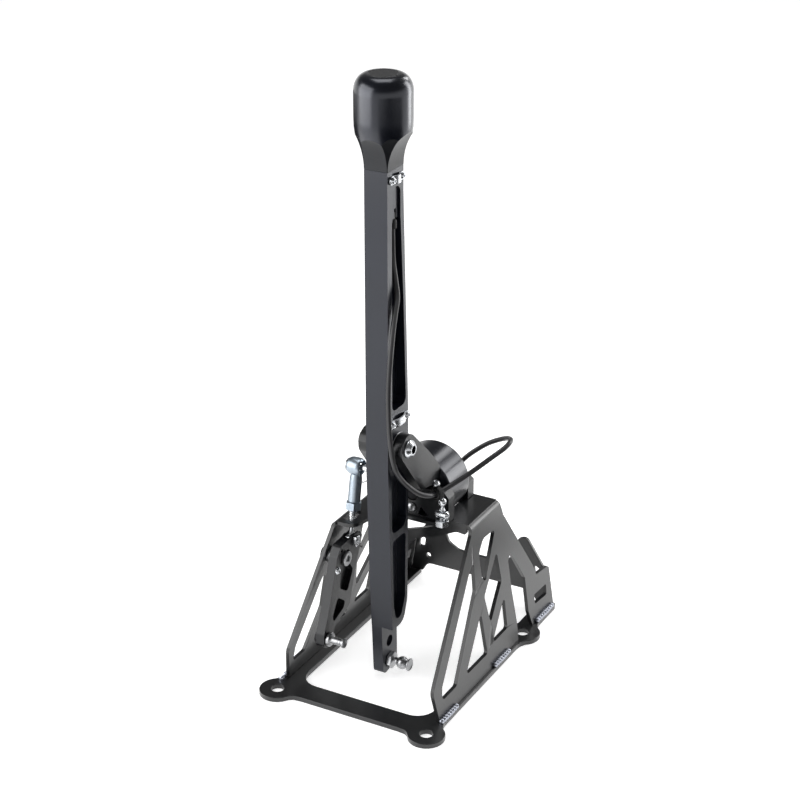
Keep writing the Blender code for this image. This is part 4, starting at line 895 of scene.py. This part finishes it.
@dataclass
class KnobAssembly:
    """Turned knob whose lower end is milled into eight hollow facets, with its bare top plate."""

    frame: dict
    radius: float = 21.0
    half_x: float = 9.5
    half_y: float = 11.95
    half_corner: float = 14.9
    hollow: float = 40.0
    corner_hollow: float = 64.0
    shoulder: float = 12.8
    crown: float = 10.8
    plate_half: float = 9.7
    sink: float = 0.8
    flare: tuple[tuple[float, float], ...] = ((15.8, 0.0), (16.8, 6.5), (18.4, 14.5), (19.9, 22.5),
                                              (20.8, 29.5), (21.0, 35.5))

    def blank_radius(self, rise: float) -> float:
        """Radius of the turned blank at a height above its lower face, below the crown."""
        for (near, start), (far, end) in zip(self.flare, self.flare[1:]):
            if rise <= end:
                return near + (far - near) * (rise - start) / (end - start)
        return self.radius

    def body_mesh(self, low: float, high: float) -> bmesh.types.BMesh:
        """Turned blank of the knob.

        Args:
            low: Height of its lower face.
            high: Height of its top.

        Returns:
            The blank's mesh, standing on its own axis.
        """
        profile = [(0.0, low), *((reach, low + rise) for reach, rise in self.flare)]
        for i in range(19):
            turn = math.radians(5.0 * i)
            reach = self.crown + (self.radius - self.crown) * max(0.0, math.cos(turn)) ** 0.92
            profile.append((reach, high - self.shoulder + self.shoulder * math.sin(turn) ** 0.95))
        profile.append((0.0, high))
        return turned(profile, steps=96)

    def facet_cutter(self, turn_deg: float, reach: float, hollow: float, low: float,
                     centre: Vector) -> bpy.types.Object:
        """Round bar that mills one hollow facet.

        Args:
            turn_deg: Direction of the facet in plan.
            reach: Distance from the knob's axis to the facet at its lower end.
            hollow: Radius of the bar.
            low: Height of the knob's lower face.
            centre: Axis of the knob in plan.

        Returns:
            The cutter as an object.
        """
        bar = turned([(0.0, -30.0), (hollow, -30.0), (hollow, 30.0), (0.0, 30.0)], steps=320)
        out = Vector((math.cos(math.radians(turn_deg)), math.sin(math.radians(turn_deg)), 0.0))
        across = Vector((-out.y, out.x, 0.0))
        seat = Vector((centre.x, centre.y, low)) + out * (reach + hollow)
        stand(bar, seat, across)
        mesh = bpy.data.meshes.new("facet_cutter")
        bar.to_mesh(mesh)
        bar.free()
        cutter = bpy.data.objects.new("facet_cutter", mesh)
        bpy.context.scene.collection.objects.link(cutter)
        return cutter

    def build(self) -> None:
        """Mill the facets into the blank, recess its top and lay the plate in it."""
        low, high = span("knob", 2)
        high -= self.sink
        centre = middle("knob")
        blank = self.body_mesh(low, high)
        bmesh.ops.translate(blank, vec=(centre.x, centre.y, 0.0), verts=blank.verts[:])
        mesh = bpy.data.meshes.new("knob_turned")
        blank.to_mesh(mesh)
        blank.free()
        work = bpy.data.objects.new("knob_work", mesh)
        bpy.context.scene.collection.objects.link(work)
        cutters = []
        for turn_deg, reach in ((0, self.half_x), (90, self.half_y), (180, self.half_x),
                                (270, self.half_y)):
            cutters.append(self.facet_cutter(turn_deg, reach, self.hollow, low, centre))
            cutters.append(self.facet_cutter(turn_deg + 45, self.half_corner, self.corner_hollow, low,
                                             centre))
        rim = self.plate_half + 0.3
        seat = stack([Level(rim, high - 0.9, Outline.HEXAGON), Level(rim, high + 2.0, Outline.HEXAGON)])
        bmesh.ops.translate(seat, vec=(centre.x, centre.y, 0.0), verts=seat.verts[:])
        seat_mesh = bpy.data.meshes.new("seat_cutter")
        seat.to_mesh(seat_mesh)
        seat.free()
        seat_cutter = bpy.data.objects.new("seat_cutter", seat_mesh)
        bpy.context.scene.collection.objects.link(seat_cutter)
        cutters.append(seat_cutter)
        for cutter in cutters:
            step = work.modifiers.new("mill", "BOOLEAN")
            step.operation = "DIFFERENCE"
            step.solver = "EXACT"
            step.object = cutter
        bpy.context.view_layer.update()
        solid = work.evaluated_get(bpy.context.evaluated_depsgraph_get())
        shape = bmesh.new()
        shape.from_mesh(solid.to_mesh())
        solid.to_mesh_clear()
        for item in (work, *cutters):
            bpy.data.objects.remove(item, do_unlink=True)
        bmesh.ops.remove_doubles(shape, verts=shape.verts[:], dist=0.003)
        for face in shape.faces:
            spot = face.calc_center_median()
            inside = self.blank_radius(spot.z - low) - math.hypot(spot.x - centre.x, spot.y - centre.y)
            face.material_index = 1 if inside > 0.12 and spot.z < low + 45.0 else 0
        ease_edges(shape, 0.35, 16.0, 2)
        knob = settle(shape, "knob_turned_and_milled", KNOB_BLACK, "lever", ["knob"], 30.0)
        knob.data.materials.append(FACET_BLACK.material())
        plate_low, plate_high = span("knob_cap_plate", 2)
        half = self.plate_half
        plate = stack([Level(half - 0.15, plate_low, Outline.HEXAGON),
                       Level(half, plate_low + 0.15, Outline.HEXAGON),
                       Level(half, plate_high - 0.15, Outline.HEXAGON),
                       Level(half - 0.2, plate_high, Outline.HEXAGON), Level(6.0, plate_high)])
        stand(plate, (centre.x, centre.y, -self.sink), (0.0, 0.0, 1.0))
        settle(plate, "knob_bare_plate", PLATE_BLACK, "lever", ["knob_cap_plate"])


@dataclass
class LeverAssembly:
    """Milled lever bar with its straps, bushes, ball stud and the clip inside the long pocket."""

    frame: dict
    edge: float = 1.1

    def build(self) -> None:
        """Dress the bar and make what is screwed to it."""
        eased_copy(self.frame, "lever_bar", "milled", LEVER_BLACK, self.edge, 35.0)
        for side, node in ((-1.0, "pivot_bush_left"), (1.0, "pivot_bush_right")):
            spot = middle(node)
            bush = turned([(4.3, 1.0), (6.5, 1.0), (6.5, 9.55), (10.9, 9.55), (11.1, 9.7), (11.1, 10.0),
                           (10.9, 10.15), (4.3, 10.15)], closed=True)
            stand(bush, (0.0, spot.y, spot.z), (side, 0.0, 0.0))
            settle(bush, node + "_turned", STAINLESS, "lever", [node])
        for label in ("upper", "lower"):
            self.build_strap(label)
        self.build_stud()
        self.build_pocket_clip()

    def build_strap(self, label: str) -> None:
        """Saddle strap: two flat ears and a raised loop over the cable, with a screw in each ear."""
        node = label + "_strap"
        centre = middle(node)
        y_low, y_high = span(node, 1)
        seat = span(node, 0)[0]
        half = (y_high - y_low) * 0.5
        arch = half - 6.6
        height = 2.1
        shape = bmesh.new()
        profile = [(-half, 0.0), (-arch - 1.0, 0.0)]
        turns = (0.35, 0.8, 1.2, 1.57, 1.94, 2.34, 2.79)
        profile += [(-arch * math.cos(turn), 0.1 + height * math.sin(turn)) for turn in turns]
        profile += [(arch + 1.0, 0.0), (half, 0.0)]
        verts = [shape.verts.new((seat + rise, centre.y + along, centre.z - 3.0))
                 for along, rise in profile]
        edges = [shape.edges.new(pair) for pair in zip(verts, verts[1:])]
        grown = bmesh.ops.extrude_edge_only(shape, edges=edges)
        moved = [item for item in grown["geom"] if isinstance(item, bmesh.types.BMVert)]
        bmesh.ops.translate(shape, vec=(0.0, 0.0, 6.0), verts=moved)
        bmesh.ops.recalc_face_normals(shape, faces=shape.faces[:])
        if sum(face.normal.x for face in shape.faces) < 0.0:
            bmesh.ops.reverse_faces(shape, faces=shape.faces[:])
        bmesh.ops.solidify(shape, geom=shape.faces[:], thickness=-1.1)
        bmesh.ops.recalc_face_normals(shape, faces=shape.faces[:])
        ends = []
        for edge in shape.edges:
            first, second = (vert.co for vert in edge.verts)
            through = abs(first.y - second.y) < 1e-3 and abs(first.z - second.z) < 1e-3
            if through and abs(first.y - centre.y) > half - 0.1:
                ends.append(edge)
        bmesh.ops.bevel(shape, geom=ends, offset=2.6, offset_type="OFFSET", affect="EDGES", segments=5,
                        profile=0.5, material=-1, clamp_overlap=True)
        settle(shape, node + "_saddle", ZINC, "lever", [node], 30.0)
        for i in (1, 2):
            screw_node = "%s_strap_screw_%d" % (label, i)
            low, high = span(screw_node, 0)
            spot = middle(screw_node)
            screw = ButtonHead(2.6, 1.8, 1.8, 1.4, high - low - 2.1).mesh()
            stand(screw, (high - 2.0, spot.y, spot.z), (1.0, 0.0, 0.0))
            settle(screw, screw_node + "_button", ZINC, "lever", [screw_node])

    def build_stud(self) -> None:
        """Ball stud for the shift cable, with its thin nut."""
        high = high_face("lever_ball_stud")
        nut_seat = high_face("lever_stud_nut")
        centre = middle("lever_ball_stud")
        seat = -0.2
        stud = BallStud(seat - nut_seat + 2.1, 3.0, 12.0, 3.6, 5.1, 11.2, 5.2, high - seat).mesh()
        stand(stud, (seat, centre.y, centre.z), (1.0, 0.0, 0.0), 8.0)
        settle(stud, "lever_ball_stud_turned", STAINLESS, "lever", ["lever_ball_stud"])
        nut = HexNut(9.4, 1.9, 3.1).mesh()
        stand(nut, (nut_seat, centre.y, centre.z), (-1.0, 0.0, 0.0))
        settle(nut, "lever_stud_low_nut", BLACK_OXIDE, "lever", ["lever_stud_nut"])

    def build_pocket_clip(self) -> None:
        """Small pressed clip that holds the cable to the floor of the long pocket."""
        shape = bmesh.new()
        bmesh.ops.create_cube(shape, size=1.0)
        bmesh.ops.scale(shape, vec=(1.0, 7.0, 11.0), verts=shape.verts[:])
        for vert in shape.verts:
            if vert.co.y > 0.0 and vert.co.z < 0.0:
                vert.co.y -= 3.6
        bmesh.ops.translate(shape, vec=(2.4, -20.5, 279.0), verts=shape.verts[:])
        ease_edges(shape, 0.3, 30.0)
        settle(shape, "pocket_cable_clip", PLATE_BLACK, "lever")


@dataclass
class CrankAssembly:
    """Bell crank with its bolt, spacer, link pin and cable pin."""

    frame: dict
    edge: float = 0.7
    bolt_rise: float = 6.0
    pin_reach: float = 14.6

    def build(self) -> None:
        """Dress the crank and make its fasteners."""
        eased_copy(self.frame, "bell_crank", "milled", PLATE_BLACK, self.edge, 35.0)
        high = high_face("crank_pivot_bolt")
        nut_seat = high_face("crank_pivot_nut")
        centre = middle("crank_pivot_bolt")
        bolt = CapHead(6.0, self.bolt_rise, 5.0, 3.0, high - self.bolt_rise - nut_seat + 3.6).mesh()
        stand(bolt, (high - self.bolt_rise, centre.y, centre.z), (1.0, 0.0, 0.0))
        settle(bolt, "crank_pivot_cap_bolt", STAINLESS, "frame", ["crank_pivot_bolt"])
        eased_copy(self.frame, "crank_spacer", "turned", STAINLESS, 0.3)
        nut = HexNut(10.0, 3.4, 3.1).mesh()
        stand(nut, (nut_seat, centre.y, centre.z), (-1.0, 0.0, 0.0))
        settle(nut, "crank_pivot_low_nut", BLACK_OXIDE, "frame", ["crank_pivot_nut"])
        high = high_face("crank_ball_stud")
        nut_seat = high_face("crank_stud_nut")
        centre = middle("crank_ball_stud")
        seat = high - self.pin_reach
        stud = CollarPin(seat - nut_seat + 2.4, 2.9, 5.6, 4.1, high - seat).mesh()
        stand(stud, (seat, centre.y, centre.z), (1.0, 0.0, 0.0))
        settle(stud, "crank_cable_pin_turned", STAINLESS, "crank", ["crank_ball_stud"])
        nut = HexNut(9.4, 2.2, 3.0).mesh()
        stand(nut, (nut_seat, centre.y, centre.z), (-1.0, 0.0, 0.0))
        settle(nut, "crank_stud_low_nut", BLACK_OXIDE, "crank", ["crank_stud_nut"])
        stop = ButtonHead(3.1, 1.8, 2.0, 1.5, 2.0).mesh()
        stand(stop, (high_face("bell_crank"), -38.8, 93.8), (1.0, 0.0, 0.0))
        settle(stop, "crank_stop_screw", ZINC, "crank")
        low, high = span("link_pin", 0)
        centre = middle("link_pin")
        pin = stack([Level(2.0, high), Level(2.4, high - 0.5), Level(2.4, low + 2.1), Level(4.0, low + 2.1),
                     Level(4.0, low + 0.5), Level(3.4, low)])
        stand(pin, (0.0, centre.y, centre.z), (1.0, 0.0, 0.0))
        settle(pin, "link_pin_turned", ZINC, "crank", ["link_pin"])
        low, high = span("link_pin_nut", 0)
        nut = HexNut(8.0, high - low, 2.5).mesh()
        stand(nut, (low, centre.y, centre.z), (1.0, 0.0, 0.0))
        settle(nut, "link_pin_hexagon_nut", ZINC, "crank", ["link_pin_nut"])


@dataclass
class LinkAssembly:
    """Adjustable link between the crank and the yoke."""

    frame: dict
    low_end: Point = (-40.0, -12.0, 107.5)
    high_end: Point = (-40.0, -0.6, 166.0)
    wire_bow: float = 6.6

    def build(self) -> None:
        """Eye, threaded rod, lock nut, socket and spring ring."""
        low = Vector(self.low_end)
        run = (Vector(self.high_end) - low).normalized()
        eased_copy(self.frame, "link_lower_eye", "plated", ZINC, 0.3)
        rod = Thread(2.9, 20.4, 1.25).mesh()
        stand(rod, low + run * 13.4, run)
        settle(rod, "link_threaded_rod", ZINC, "link", ["link_rod"], 60.0)
        nut = HexNut(11.4, 6.3, 3.0).mesh()
        stand(nut, low + run * 24.6, run)
        settle(nut, "link_hexagon_lock_nut", BLUE_ZINC, "link", ["link_lock_nut"])
        self.build_socket(low, run)
        self.build_wire()

    def build_socket(self, low: Vector, run: Vector) -> None:
        """Domed head round the ball, its spring ring, and the turned sleeve that screws on the rod."""
        reach = (Vector(self.high_end) - low).length
        head = turned([(5.6, -6.3), (5.9, -6.3), (6.4, -5.8), (6.9, -4.2), (7.1, -1.5), (7.1, 2.0),
                       (6.8, 3.6), (6.2, 4.6), (5.6, 4.9)], closed=True)
        stand(head, self.high_end, (1.0, 0.0, 0.0))
        sleeve = turned([(3.1, 31.0), (4.5, 31.0), (4.9, 31.5), (4.9, reach - 10.0), (4.5, reach - 7.4),
                         (4.4, reach - 6.0), (3.1, reach - 6.0)], closed=True)
        stand(sleeve, low, run)
        settle(merge_shapes((head, sleeve)), "link_socket_turned", BLUE_ZINC, "link", ["link_socket"])
        ring = turned([(3.4, -7.8), (3.8, -8.2), (4.8, -8.2), (5.2, -7.8), (5.2, -7.0), (4.8, -6.5),
                       (3.8, -6.5), (3.4, -7.0)], closed=True)
        stand(ring, self.high_end, (1.0, 0.0, 0.0))
        settle(ring, "link_spring_ring", STAINLESS, "link", ["link_clip_ring"])

    def build_wire(self) -> None:
        """Spring wire that loops from the head to the sleeve and keeps the ball in its socket."""
        shape = bmesh.new()
        ring = bmesh.ops.create_circle(shape, cap_ends=True, segments=12, radius=0.45)["verts"]
        bmesh.ops.translate(shape, vec=(self.wire_bow, 0.0, 0.0), verts=ring)
        bmesh.ops.spin(shape, geom=shape.verts[:] + shape.edges[:] + shape.faces[:], cent=(0.0, 0.0, 0.0),
                       axis=(0.0, 1.0, 0.0), angle=math.radians(165.0), steps=28)
        bmesh.ops.remove_doubles(shape, verts=shape.verts[:], dist=1e-4)
        bmesh.ops.recalc_face_normals(shape, faces=shape.faces[:])
        bmesh.ops.rotate(shape, cent=(0.0, 0.0, 0.0), verts=shape.verts[:],
                         matrix=Matrix.Rotation(math.radians(-82.0), 3, "Y"))
        head = Vector(self.high_end)
        bmesh.ops.translate(shape, vec=(head.x + 4.2, head.y - 1.0, head.z - 5.6), verts=shape.verts[:])
        settle(shape, "link_spring_wire", STAINLESS, "link")


@dataclass
class ClipAssembly:
    """Stack on the front bearing plate that carries the cable clip."""

    frame: dict

    def build(self) -> None:
        """Pin, barrel, threaded stud, nut, ball, rubber-lined band and screw."""
        low, high = span("clip_stud", 2)
        centre = middle("clip_stud")
        stud = Thread(2.0, high - low, 0.7).mesh()
        stand(stud, (centre.x, centre.y, low), (0.0, 0.0, 1.0))
        settle(stud, "clip_threaded_stud", ZINC, "frame", ["clip_stud"], 60.0)
        low, high = span("clip_nut", 2)
        nut = HexNut(10.0, high - low, 2.2).mesh()
        stand(nut, (centre.x, centre.y, low), (0.0, 0.0, 1.0))
        settle(nut, "clip_hexagon_nut", ZINC, "frame", ["clip_nut"])
        eased_copy(self.frame, "clip_fitting", "plated", ZINC, 0.3, 35.0)
        eased_copy(self.frame, "clip_pin", "turned", STAINLESS, 0.2)
        low, high = span("clip_ball", 2)
        ball = turned([(0.0, low), (2.3, low), (2.4, low + 0.2), (1.7, low + 1.9), (1.5, low + 3.0),
                       (1.7, low + 3.9), (2.6, low + 5.1), (3.0, low + 6.2), (3.1, low + 7.3),
                       (3.0, low + 8.5), (2.5, low + 9.5), (1.4, low + 10.4), (0.0, high)])
        stand(ball, (centre.x, centre.y, 0.0), (0.0, 0.0, 1.0))
        settle(ball, "clip_ball_turned", ZINC, "frame", ["clip_ball"])
        eased_copy(self.frame, "clip_rubber", "moulded", RUBBER, 0.3)
        eased_copy(self.frame, "clip_band", "dipped", RUBBER, 0.5)
        low, high = span("clip_screw", 2)
        spot = middle("clip_screw")
        screw = ButtonHead(3.0, high - low - 0.6, 2.0, 2.2, 0.6).mesh()
        stand(screw, (spot.x, spot.y, low + 0.6), (0.0, 0.0, 1.0))
        settle(screw, "clip_button_screw", ZINC, "frame", ["clip_screw"])


@dataclass
class TriggerCable:
    """Cable outer in two lengths: down the lever to the yoke, and from the yoke round to its rear fitting."""

    frame: dict
    diameter: float = 4.0
    split: int = 12
    per_span: int = 8
    points: tuple[Point, ...] = (
        (5.4, -26.0, 388.0), (5.4, -26.0, 370.0), (5.5, -25.2, 352.0), (8.0, -27.0, 340.0),
        (11.7, -30.5, 327.0), (12.0, -34.0, 315.0), (12.0, -37.6, 302.0), (12.0, -42.7, 273.0),
        (12.2, -44.6, 247.0), (12.4, -42.6, 217.0), (13.2, -37.4, 193.2), (15.2, -28.1, 178.3),
        (21.0, -17.7, 166.0), (25.6, -8.0, 160.0), (27.0, 4.5, 156.8), (32.5, 16.0, 159.5),
        (42.1, 30.0, 166.4), (52.5, 43.0, 175.4), (59.2, 55.5, 181.2), (58.4, 66.5, 182.6),
        (49.0, 75.5, 178.0), (34.0, 80.0, 169.0), (22.0, 81.5, 159.5), (12.5, 81.5, 150.5),
        (5.0, 80.0, 141.5))

    def route(self) -> list[Vector]:
        """Smooth curve through the route points.

        Returns:
            Points of the whole route in millimetres.
        """
        ends = [self.points[0], *self.points, self.points[-1]]
        path: list[Vector] = []
        for i in range(len(self.points) - 1):
            a, b, c, d = (Vector(point) for point in ends[i:i + 4])
            for step in range(self.per_span):
                t = step / self.per_span
                path.append(0.5 * (2.0 * b + (c - a) * t + (2.0 * a - 5.0 * b + 4.0 * c - d) * t * t
                                   + (3.0 * b - a - 3.0 * c + d) * t ** 3))
        path.append(Vector(self.points[-1]))
        return path

    def length_of_cable(self, name: str, path: Sequence[Vector]) -> bpy.types.Object:
        """Round mesh along part of the route.

        Args:
            name: Name of the piece.
            path: Points in millimetres.

        Returns:
            The piece, not yet riding on anything.
        """
        curve = bpy.data.curves.new(name, "CURVE")
        curve.dimensions = "3D"
        curve.bevel_depth = self.diameter * 0.5 * MM
        curve.bevel_resolution = 4
        curve.use_fill_caps = True
        spline = curve.splines.new("POLY")
        spline.points.add(len(path) - 1)
        for target, point in zip(spline.points, path):
            target.co = (point.x * MM, point.y * MM, point.z * MM, 1.0)
        drawn = bpy.data.objects.new(name + "_curve", curve)
        bpy.context.scene.collection.objects.link(drawn)
        bpy.context.view_layer.update()
        mesh = bpy.data.meshes.new_from_object(drawn.evaluated_get(bpy.context.evaluated_depsgraph_get()))
        mesh.name = name
        bpy.data.objects.remove(drawn, do_unlink=True)
        piece = bpy.data.objects.new(name, mesh)
        bpy.context.scene.collection.objects.link(piece)
        mesh.materials.clear()
        mesh.materials.append(SHEATH.material())
        for polygon in mesh.polygons:
            polygon.use_smooth = True
        return piece

    def build(self) -> None:
        """Two lengths along the route, the rear fitting and the top ferrule."""
        path = self.route()
        cut = self.split * self.per_span
        upper = self.length_of_cable("trigger_cable_upper", path[:cut + 1])
        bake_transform(upper)
        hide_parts("cable_upper", "cable_middle")
        lower = self.length_of_cable("trigger_cable_rear", path[cut:])
        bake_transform(lower)
        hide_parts("cable_loop")
        end = path[-1]
        away = (end - path[-4]).normalized()
        fitting = turned([(0.0, 0.5), (2.9, 0.5), (3.4, 0.9), (3.4, 2.0), (3.0, 2.4), (3.4, 2.8),
                          (3.4, 4.4), (3.0, 4.8), (3.4, 5.2), (3.4, 6.2), (2.6, 7.2), (1.2, 7.4),
                          (0.0, 7.4)])
        stand(fitting, end, away)
        settle(fitting, "cable_end_ferrule", ZINC, "frame", ["cable_end_fitting"])
        ferrule = turned([(2.1, 0.0), (2.9, 0.0), (3.1, 0.3), (3.1, 6.0), (2.8, 6.8), (2.1, 6.8)],
                         closed=True)
        stand(ferrule, (5.4, -26.0, 376.0), (0.0, 0.0, 1.0))
        settle(ferrule, "cable_top_ferrule", RUBBER, "lever")


@dataclass
class Studio:
    """Pale floor, soft lamps, plain sky and the camera at the photograph's angle."""

    camera_at: Point = (0.6619, -1.2159, 0.8667)
    camera_tilt_deg: float = 65.32
    camera_turn_deg: float = 28.66
    lens_mm: float = 91.64
    floor_size: float = 40.0

    def white_for_camera(self, tree: bpy.types.NodeTree) -> bpy.types.NodeSocket:
        """Socket that is one for rays that see the background: camera, glossy and transmission."""
        path = add_node(tree, "ShaderNodeLightPath")
        either = add_node(tree, "ShaderNodeMath", {"operation": "MAXIMUM"},
                          {0: path.outputs["Is Camera Ray"], 1: path.outputs["Is Glossy Ray"]})
        seen = add_node(tree, "ShaderNodeMath", {"operation": "MAXIMUM"},
                        {0: either.outputs[0], 1: path.outputs["Is Transmission Ray"]})
        return seen.outputs[0]

    def build_floor(self) -> None:
        """Large plain floor that reads white and keeps the shadow."""
        shape = bmesh.new()
        bmesh.ops.create_grid(shape, x_segments=1, y_segments=1, size=self.floor_size * 0.5)
        mesh = bpy.data.meshes.new("studio_floor")
        shape.to_mesh(mesh)
        shape.free()
        floor = bpy.data.objects.new("studio_floor", mesh)
        bpy.context.scene.collection.objects.link(floor)
        paint = bpy.data.materials.new("matt_white_studio_paint")
        paint.use_nodes = True
        tree = paint.node_tree
        tree.nodes.clear()
        matt = add_node(tree, "ShaderNodeBsdfDiffuse", {"Color": linear("#f4f4f4")})
        seen = self.white_for_camera(tree)
        strength = add_node(tree, "ShaderNodeMath", {"operation": "MULTIPLY", 1: 0.5}, {0: seen})
        glow = add_node(tree, "ShaderNodeEmission", {"Color": (1.0, 1.0, 1.0, 1.0)},
                        {"Strength": strength.outputs[0]})
        both = add_node(tree, "ShaderNodeAddShader", None, {0: matt.outputs[0], 1: glow.outputs[0]})
        add_node(tree, "ShaderNodeOutputMaterial", None, {"Surface": both.outputs[0]})
        mesh.materials.append(paint)

    def build_world(self) -> None:
        """Soft even light; the background is white, and mirror views darken overhead as in a room."""
        world = bpy.data.worlds.new("studio_sky")
        bpy.context.scene.world = world
        world.use_nodes = True
        tree = world.node_tree
        tree.nodes.clear()
        path = add_node(tree, "ShaderNodeLightPath")
        place = add_node(tree, "ShaderNodeTexCoord")
        height = add_node(tree, "ShaderNodeSeparateXYZ", None, {0: place.outputs["Generated"]})
        grade = add_node(tree, "ShaderNodeMapRange", {"interpolation_type": "SMOOTHSTEP", "From Min": 0.0,
                                                      "From Max": 0.32, "To Min": 1.0, "To Max": 0.1},
                         {"Value": height.outputs["Z"]})
        mirrored = add_node(tree, "ShaderNodeMix", {VALUE_A: 0.5},
                            {0: path.outputs["Is Glossy Ray"], VALUE_B: grade.outputs[0]})
        clear = add_node(tree, "ShaderNodeMath", {"operation": "MAXIMUM"},
                         {0: path.outputs["Is Camera Ray"], 1: path.outputs["Is Transmission Ray"]})
        strength = add_node(tree, "ShaderNodeMix", {VALUE_B: 1.0},
                            {0: clear.outputs[0], VALUE_A: mirrored.outputs[0]})
        sky = add_node(tree, "ShaderNodeBackground", {"Color": (1.0, 1.0, 1.0, 1.0)},
                       {"Strength": strength.outputs[0]})
        add_node(tree, "ShaderNodeOutputWorld", None, {"Surface": sky.outputs[0]})

    def lamp(self, name: str, at: Point, aim: Point, size: tuple[float, float], watts: float) -> None:
        """Soft box that the camera looks past.

        Args:
            name: Name of the lamp.
            at: Its place in metres.
            aim: Point that it faces.
            size: Width and height of the box in metres.
            watts: Its power.
        """
        light = bpy.data.lights.new(name, "AREA")
        light.shape = "RECTANGLE"
        light.size, light.size_y = size
        light.energy = watts
        lamp = bpy.data.objects.new(name, light)
        lamp.location = at
        lamp.rotation_euler = (Vector(aim) - Vector(at)).to_track_quat("-Z", "Y").to_euler()
        lamp.visible_camera = False
        bpy.context.scene.collection.objects.link(lamp)

    def build_flag(self, name: str, centre: tuple[float, float], size: tuple[float, float]) -> None:
        """Black card on the floor, out of view: only mirror rays find it, like a card beside a product.

        Args:
            name: Name of the card.
            centre: Its middle on the floor in metres.
            size: Its width along X and depth along Y in metres.
        """
        shape = bmesh.new()
        bmesh.ops.create_grid(shape, x_segments=1, y_segments=1, size=0.5)
        bmesh.ops.scale(shape, vec=(size[0], size[1], 1.0), verts=shape.verts[:])
        bmesh.ops.translate(shape, vec=(centre[0], centre[1], 0.004), verts=shape.verts[:])
        mesh = bpy.data.meshes.new(name)
        shape.to_mesh(mesh)
        shape.free()
        flag = bpy.data.objects.new(name, mesh)
        bpy.context.scene.collection.objects.link(flag)
        card = bpy.data.materials.get("matt_black_card") or bpy.data.materials.new("matt_black_card")
        card.use_nodes = True
        card.node_tree.nodes["Principled BSDF"].inputs["Base Color"].default_value = linear("#060606")
        card.node_tree.nodes["Principled BSDF"].inputs["Roughness"].default_value = 0.9
        mesh.materials.append(card)
        flag.visible_camera = False
        flag.visible_diffuse = False
        flag.visible_transmission = False
        flag.visible_shadow = False

    def build(self) -> None:
        """Floor, sky, lamps, camera and the plain view transform."""
        self.build_floor()
        self.build_flag("right_flag", (0.98, -0.58), (1.6, 1.8))
        self.build_flag("left_flag", (-1.0, 0.55), (1.3, 1.3))
        self.build_world()
        self.lamp("left_box", (-0.66, -0.64, 0.56), (0.0, 0.0, 0.36), (1.05, 0.9), 10.0)
        self.lamp("right_strip_box", (0.52, 0.74, 0.52), (0.0, 0.0, 0.30), (0.32, 0.86), 4.3)
        self.lamp("rear_box", (0.12, 0.95, 0.90), (0.0, 0.04, 0.14), (0.25, 0.35), 1.4)
        self.lamp("top_box", (-0.2, 0.3, 1.9), (0.0, 0.0, 0.2), (0.9, 0.9), 8.0)
        lens = bpy.data.cameras.new("photo_camera")
        lens.lens = self.lens_mm
        lens.sensor_width = 36.0
        lens.clip_start = 0.05
        lens.clip_end = 100.0
        camera = bpy.data.objects.new("photo_camera", lens)
        camera.location = self.camera_at
        camera.rotation_euler = (math.radians(self.camera_tilt_deg), 0.0,
                                 math.radians(self.camera_turn_deg))
        bpy.context.scene.collection.objects.link(camera)
        bpy.context.scene.camera = camera
        bpy.context.scene.view_settings.view_transform = "Standard"


def main() -> None:
    """Load the frame, dress every sub-assembly and set up the studio."""
    logging.basicConfig(level=logging.INFO, format="%(name)s: %(message)s")
    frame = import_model()
    sections = (BaseAndBridge(frame), RollBearing(frame), YokeAssembly(frame), LeverAssembly(frame),
                KnobAssembly(frame), CrankAssembly(frame), LinkAssembly(frame), ClipAssembly(frame),
                TriggerCable(frame))
    for section in sections:
        LOG.info("building %s", type(section).__name__)
        section.build()
    frame["nodes"]["knob_stud"].data.materials.clear()
    frame["nodes"]["knob_stud"].data.materials.append(STAINLESS.material())
    Studio().build()


if __name__ == "__main__":
    main()
